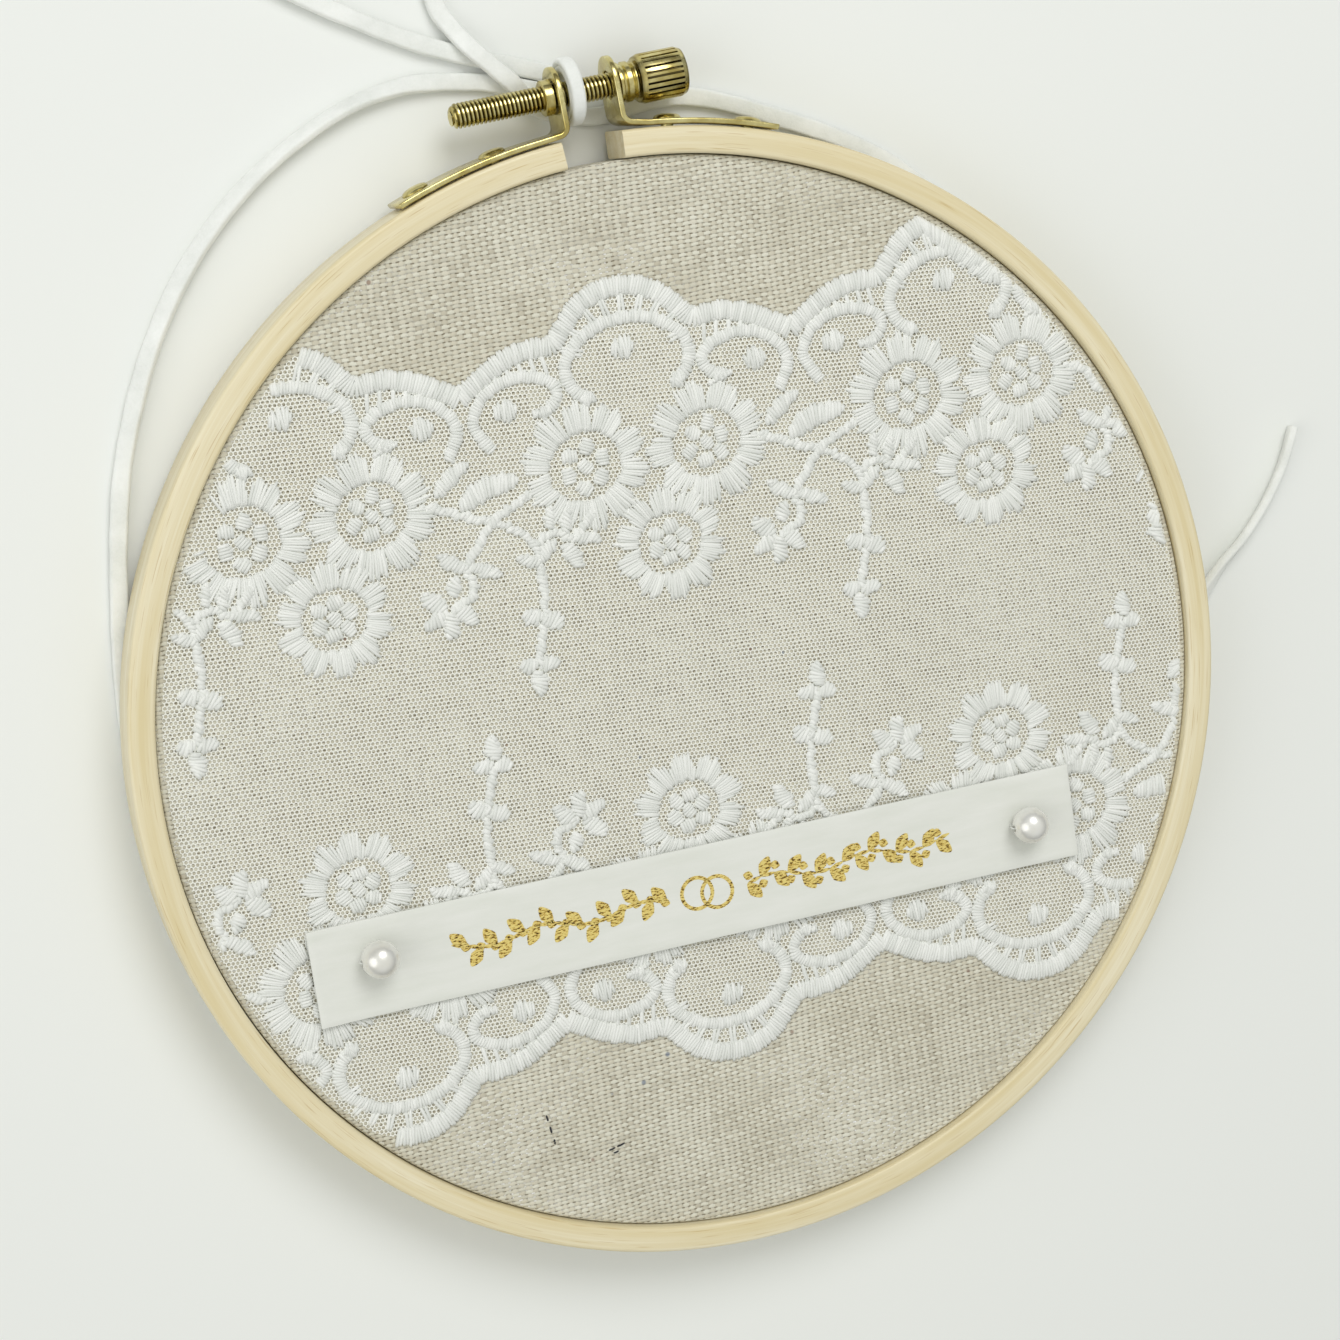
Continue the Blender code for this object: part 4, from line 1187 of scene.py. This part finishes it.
def makeThread(name, start, end, radius, depth, pitch):     # a real helix, cut square at its ends
    sides, perTurn = 32, 6
    cuts = (0.0, 0.0, 0.0, 0.6, 1.0, 0.6)
    rows = (round((end - start) / pitch) + 3) * perTurn
    step, corners = sides + 1, []
    for r in range(rows + 1):
        for k in range(sides + 1):
            angle = 2 * pi * k / sides
            out = radius - depth * cuts[r % perTurn]
            along = start + pitch * (r / perTurn - 2 + k / sides)
            corners.append((out * cos(angle), out * sin(angle), along))
    faces = [(r * step + k, r * step + k + 1, (r + 1) * step + k + 1, (r + 1) * step + k)
             for r in range(rows) for k in range(sides)]
    obj = meshPiece(name, corners, faces)
    cleanMesh(obj)
    for level, way in ((start, -1), (end, 1)):
        setMode("EDIT")
        selectMesh()
        bpy.ops.mesh.bisect(plane_co=(0, 0, level), plane_no=(0, 0, way), clear_outer=True, use_fill=True)
        setMode("OBJECT")
    cleanMesh(obj)
    for v in obj.data.vertices:        # the tip is chamfered
        narrow = 1 - 0.3 * max(0.0, 1 - (v.co.z - start) / (0.7 * mm))
        v.co.xy = v.co.xy * narrow
    return obj


def makeHead():                        # the knurled head: ribs left standing between cut grooves
    look = brassLook
    low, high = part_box("thumbscrew_head")
    start, end, radius = low.x, high.x, (high.y - low.y) / 2
    face, length = 1.5 * mm, end - start
    sides = look["ribs"] * 5
    head = primitive("cylinder", "thumbscrewHead", vertices=sides, radius=radius, depth=length - face,
                     end_fill_type="NGON", location=(0, 0, (start + end) / 2))
    setMode("EDIT")
    for way in (1, -1):                # chamfered ends with a shallow dish
        pick("FACE", lambda c, f: f.normal.z * way > 0.9)
        rings = ((0.985, 0.1 * mm), (0.93, face / 2 - 0.15 * mm), (0.9, 0.05 * mm), (0.8, 0.0),
                 (0.95, -0.12 * mm))
        for size, rise in rings:
            extrude("region", (0, 0, rise * way), (size, size, 1), center_override=(0, 0, 0))
    step = 2 * pi / sides
    pick("FACE", lambda c, f: abs(f.normal.z) < 0.1 and hypot(c.x, c.y) > radius * 0.97
         and int((atan2(c.y, c.x) % (2 * pi)) / step) % 5 < 2)
    bpy.ops.mesh.inset(thickness=0.07 * mm)
    bpy.ops.transform.resize(value=(1 - look["ribDepth"] / radius, 1 - look["ribDepth"] / radius, 1),
                             center_override=(0, 0, 0))
    setMode("OBJECT")
    cleanMesh(head)
    onScrew(head)
    return head


def makeBrass():
    look = brassLook
    material = brassMaterial()
    for side in ("left", "right"):
        makeBracket(side, material)
    makeRivets(material)
    low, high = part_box("threaded_bush")
    bush = turned("threadedBush", [(low.x, 1.9 * mm), (low.x, 2.3 * mm), (low.x + 0.15 * mm, 2.48 * mm),
                                   (high.x + 0.1 * mm, 2.5 * mm), (high.x + 0.1 * mm, 1.9 * mm)], 40)
    onScrew(bush)
    finishPiece(bush, material, "outer_hoop_body", "brass", "threaded_bush")
    start, end = (p.x for p in ferrules)
    waist = [(0, 2.0), (0.02, 2.7), (0.15, 2.88), (0.5, 2.88), (0.7, 2.6), (1.0, 2.55), (1.25, 2.82),
             (1.9, 2.82), (2.15, 2.5), (2.35, 2.45), (2.5, 2.7), (2.62, 2.7), (2.7, 2.0)]
    ferrule = turned("screwFerrule", [(start + h * mm, r * mm) for h, r in waist], 48)
    onScrew(ferrule)
    finishPiece(ferrule, material, "ferrule_body", "brass", "screw_ferrule")
    tip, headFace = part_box("thumbscrew_shank")[0].x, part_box("thumbscrew_head")[0].x
    shank = makeThread("thumbscrewShank", tip, headFace + 1 * mm, 1.75 * mm,
                       look["threadDepth"], look["pitch"])
    onScrew(shank)
    finishPiece(shank, material, "thumbscrew_body", "brass", "thumbscrew_shank", angle=50)
    head = makeHead()
    finishPiece(head, material, "thumbscrew_body", "brass", "thumbscrew_head", angle=30)
    print("brass made")


# Floor and light

studio = {"floor": "#EDEFEC", "key": 3.5, "fill": 2.3, "sky": 0.72, "ground": 0.17}


def makeStudio():
    floor = primitive("plane", "floor", size=4)
    material = newMaterial("paleFloor")
    where = ownPlace()
    soft = noise(where, 6.0, 2.0)
    colour = blendColours(soft, studio["floor"], "#EFF1EE")
    setShader({"Base Color": colour, "Roughness": 0.9, "Specular IOR Level": 0.2})
    floor.data.materials.append(material)
    lamps = (("keyLight", (0.15, 0.6, 0.75), 0.55, studio["key"]),
             ("fillLight", (-0.85, 0.05, 0.5), 0.9, studio["fill"]))
    for name, at, size, power in lamps:
        data = bpy.data.lights.new(name, "AREA")
        data.shape, data.size, data.energy = "DISK", size, power
        lamp = bpy.data.objects.new(name, data)
        bpy.context.scene.collection.objects.link(lamp)
        lamp.location = at
        lamp.rotation_euler = (-Vector(at)).to_track_quat("-Z", "Y").to_euler()
    world = bpy.data.worlds.new("studioSky")
    bpy.context.scene.world = world
    world.use_nodes = True
    making["tree"] = world.node_tree
    where = addNode("TexCoord", output="Generated")
    height = addNode("SeparateXYZ", {"Vector": where}).node.outputs["Z"]
    bright = spread(height, 0.12, 0.72, studio["ground"], studio["sky"])
    background = world.node_tree.nodes["Background"].inputs
    setSocket(background["Color"], linear("#F8F9F4"))
    setSocket(background["Strength"], bright)
    bpy.context.scene.view_settings.view_transform = "Standard"
    print("floor and light made")


makeCamera()
makeCords()
makeHoops()
makeLinen()
makeLace()
makeLabel()
makePearls()
makeBrass()
makeStudio()
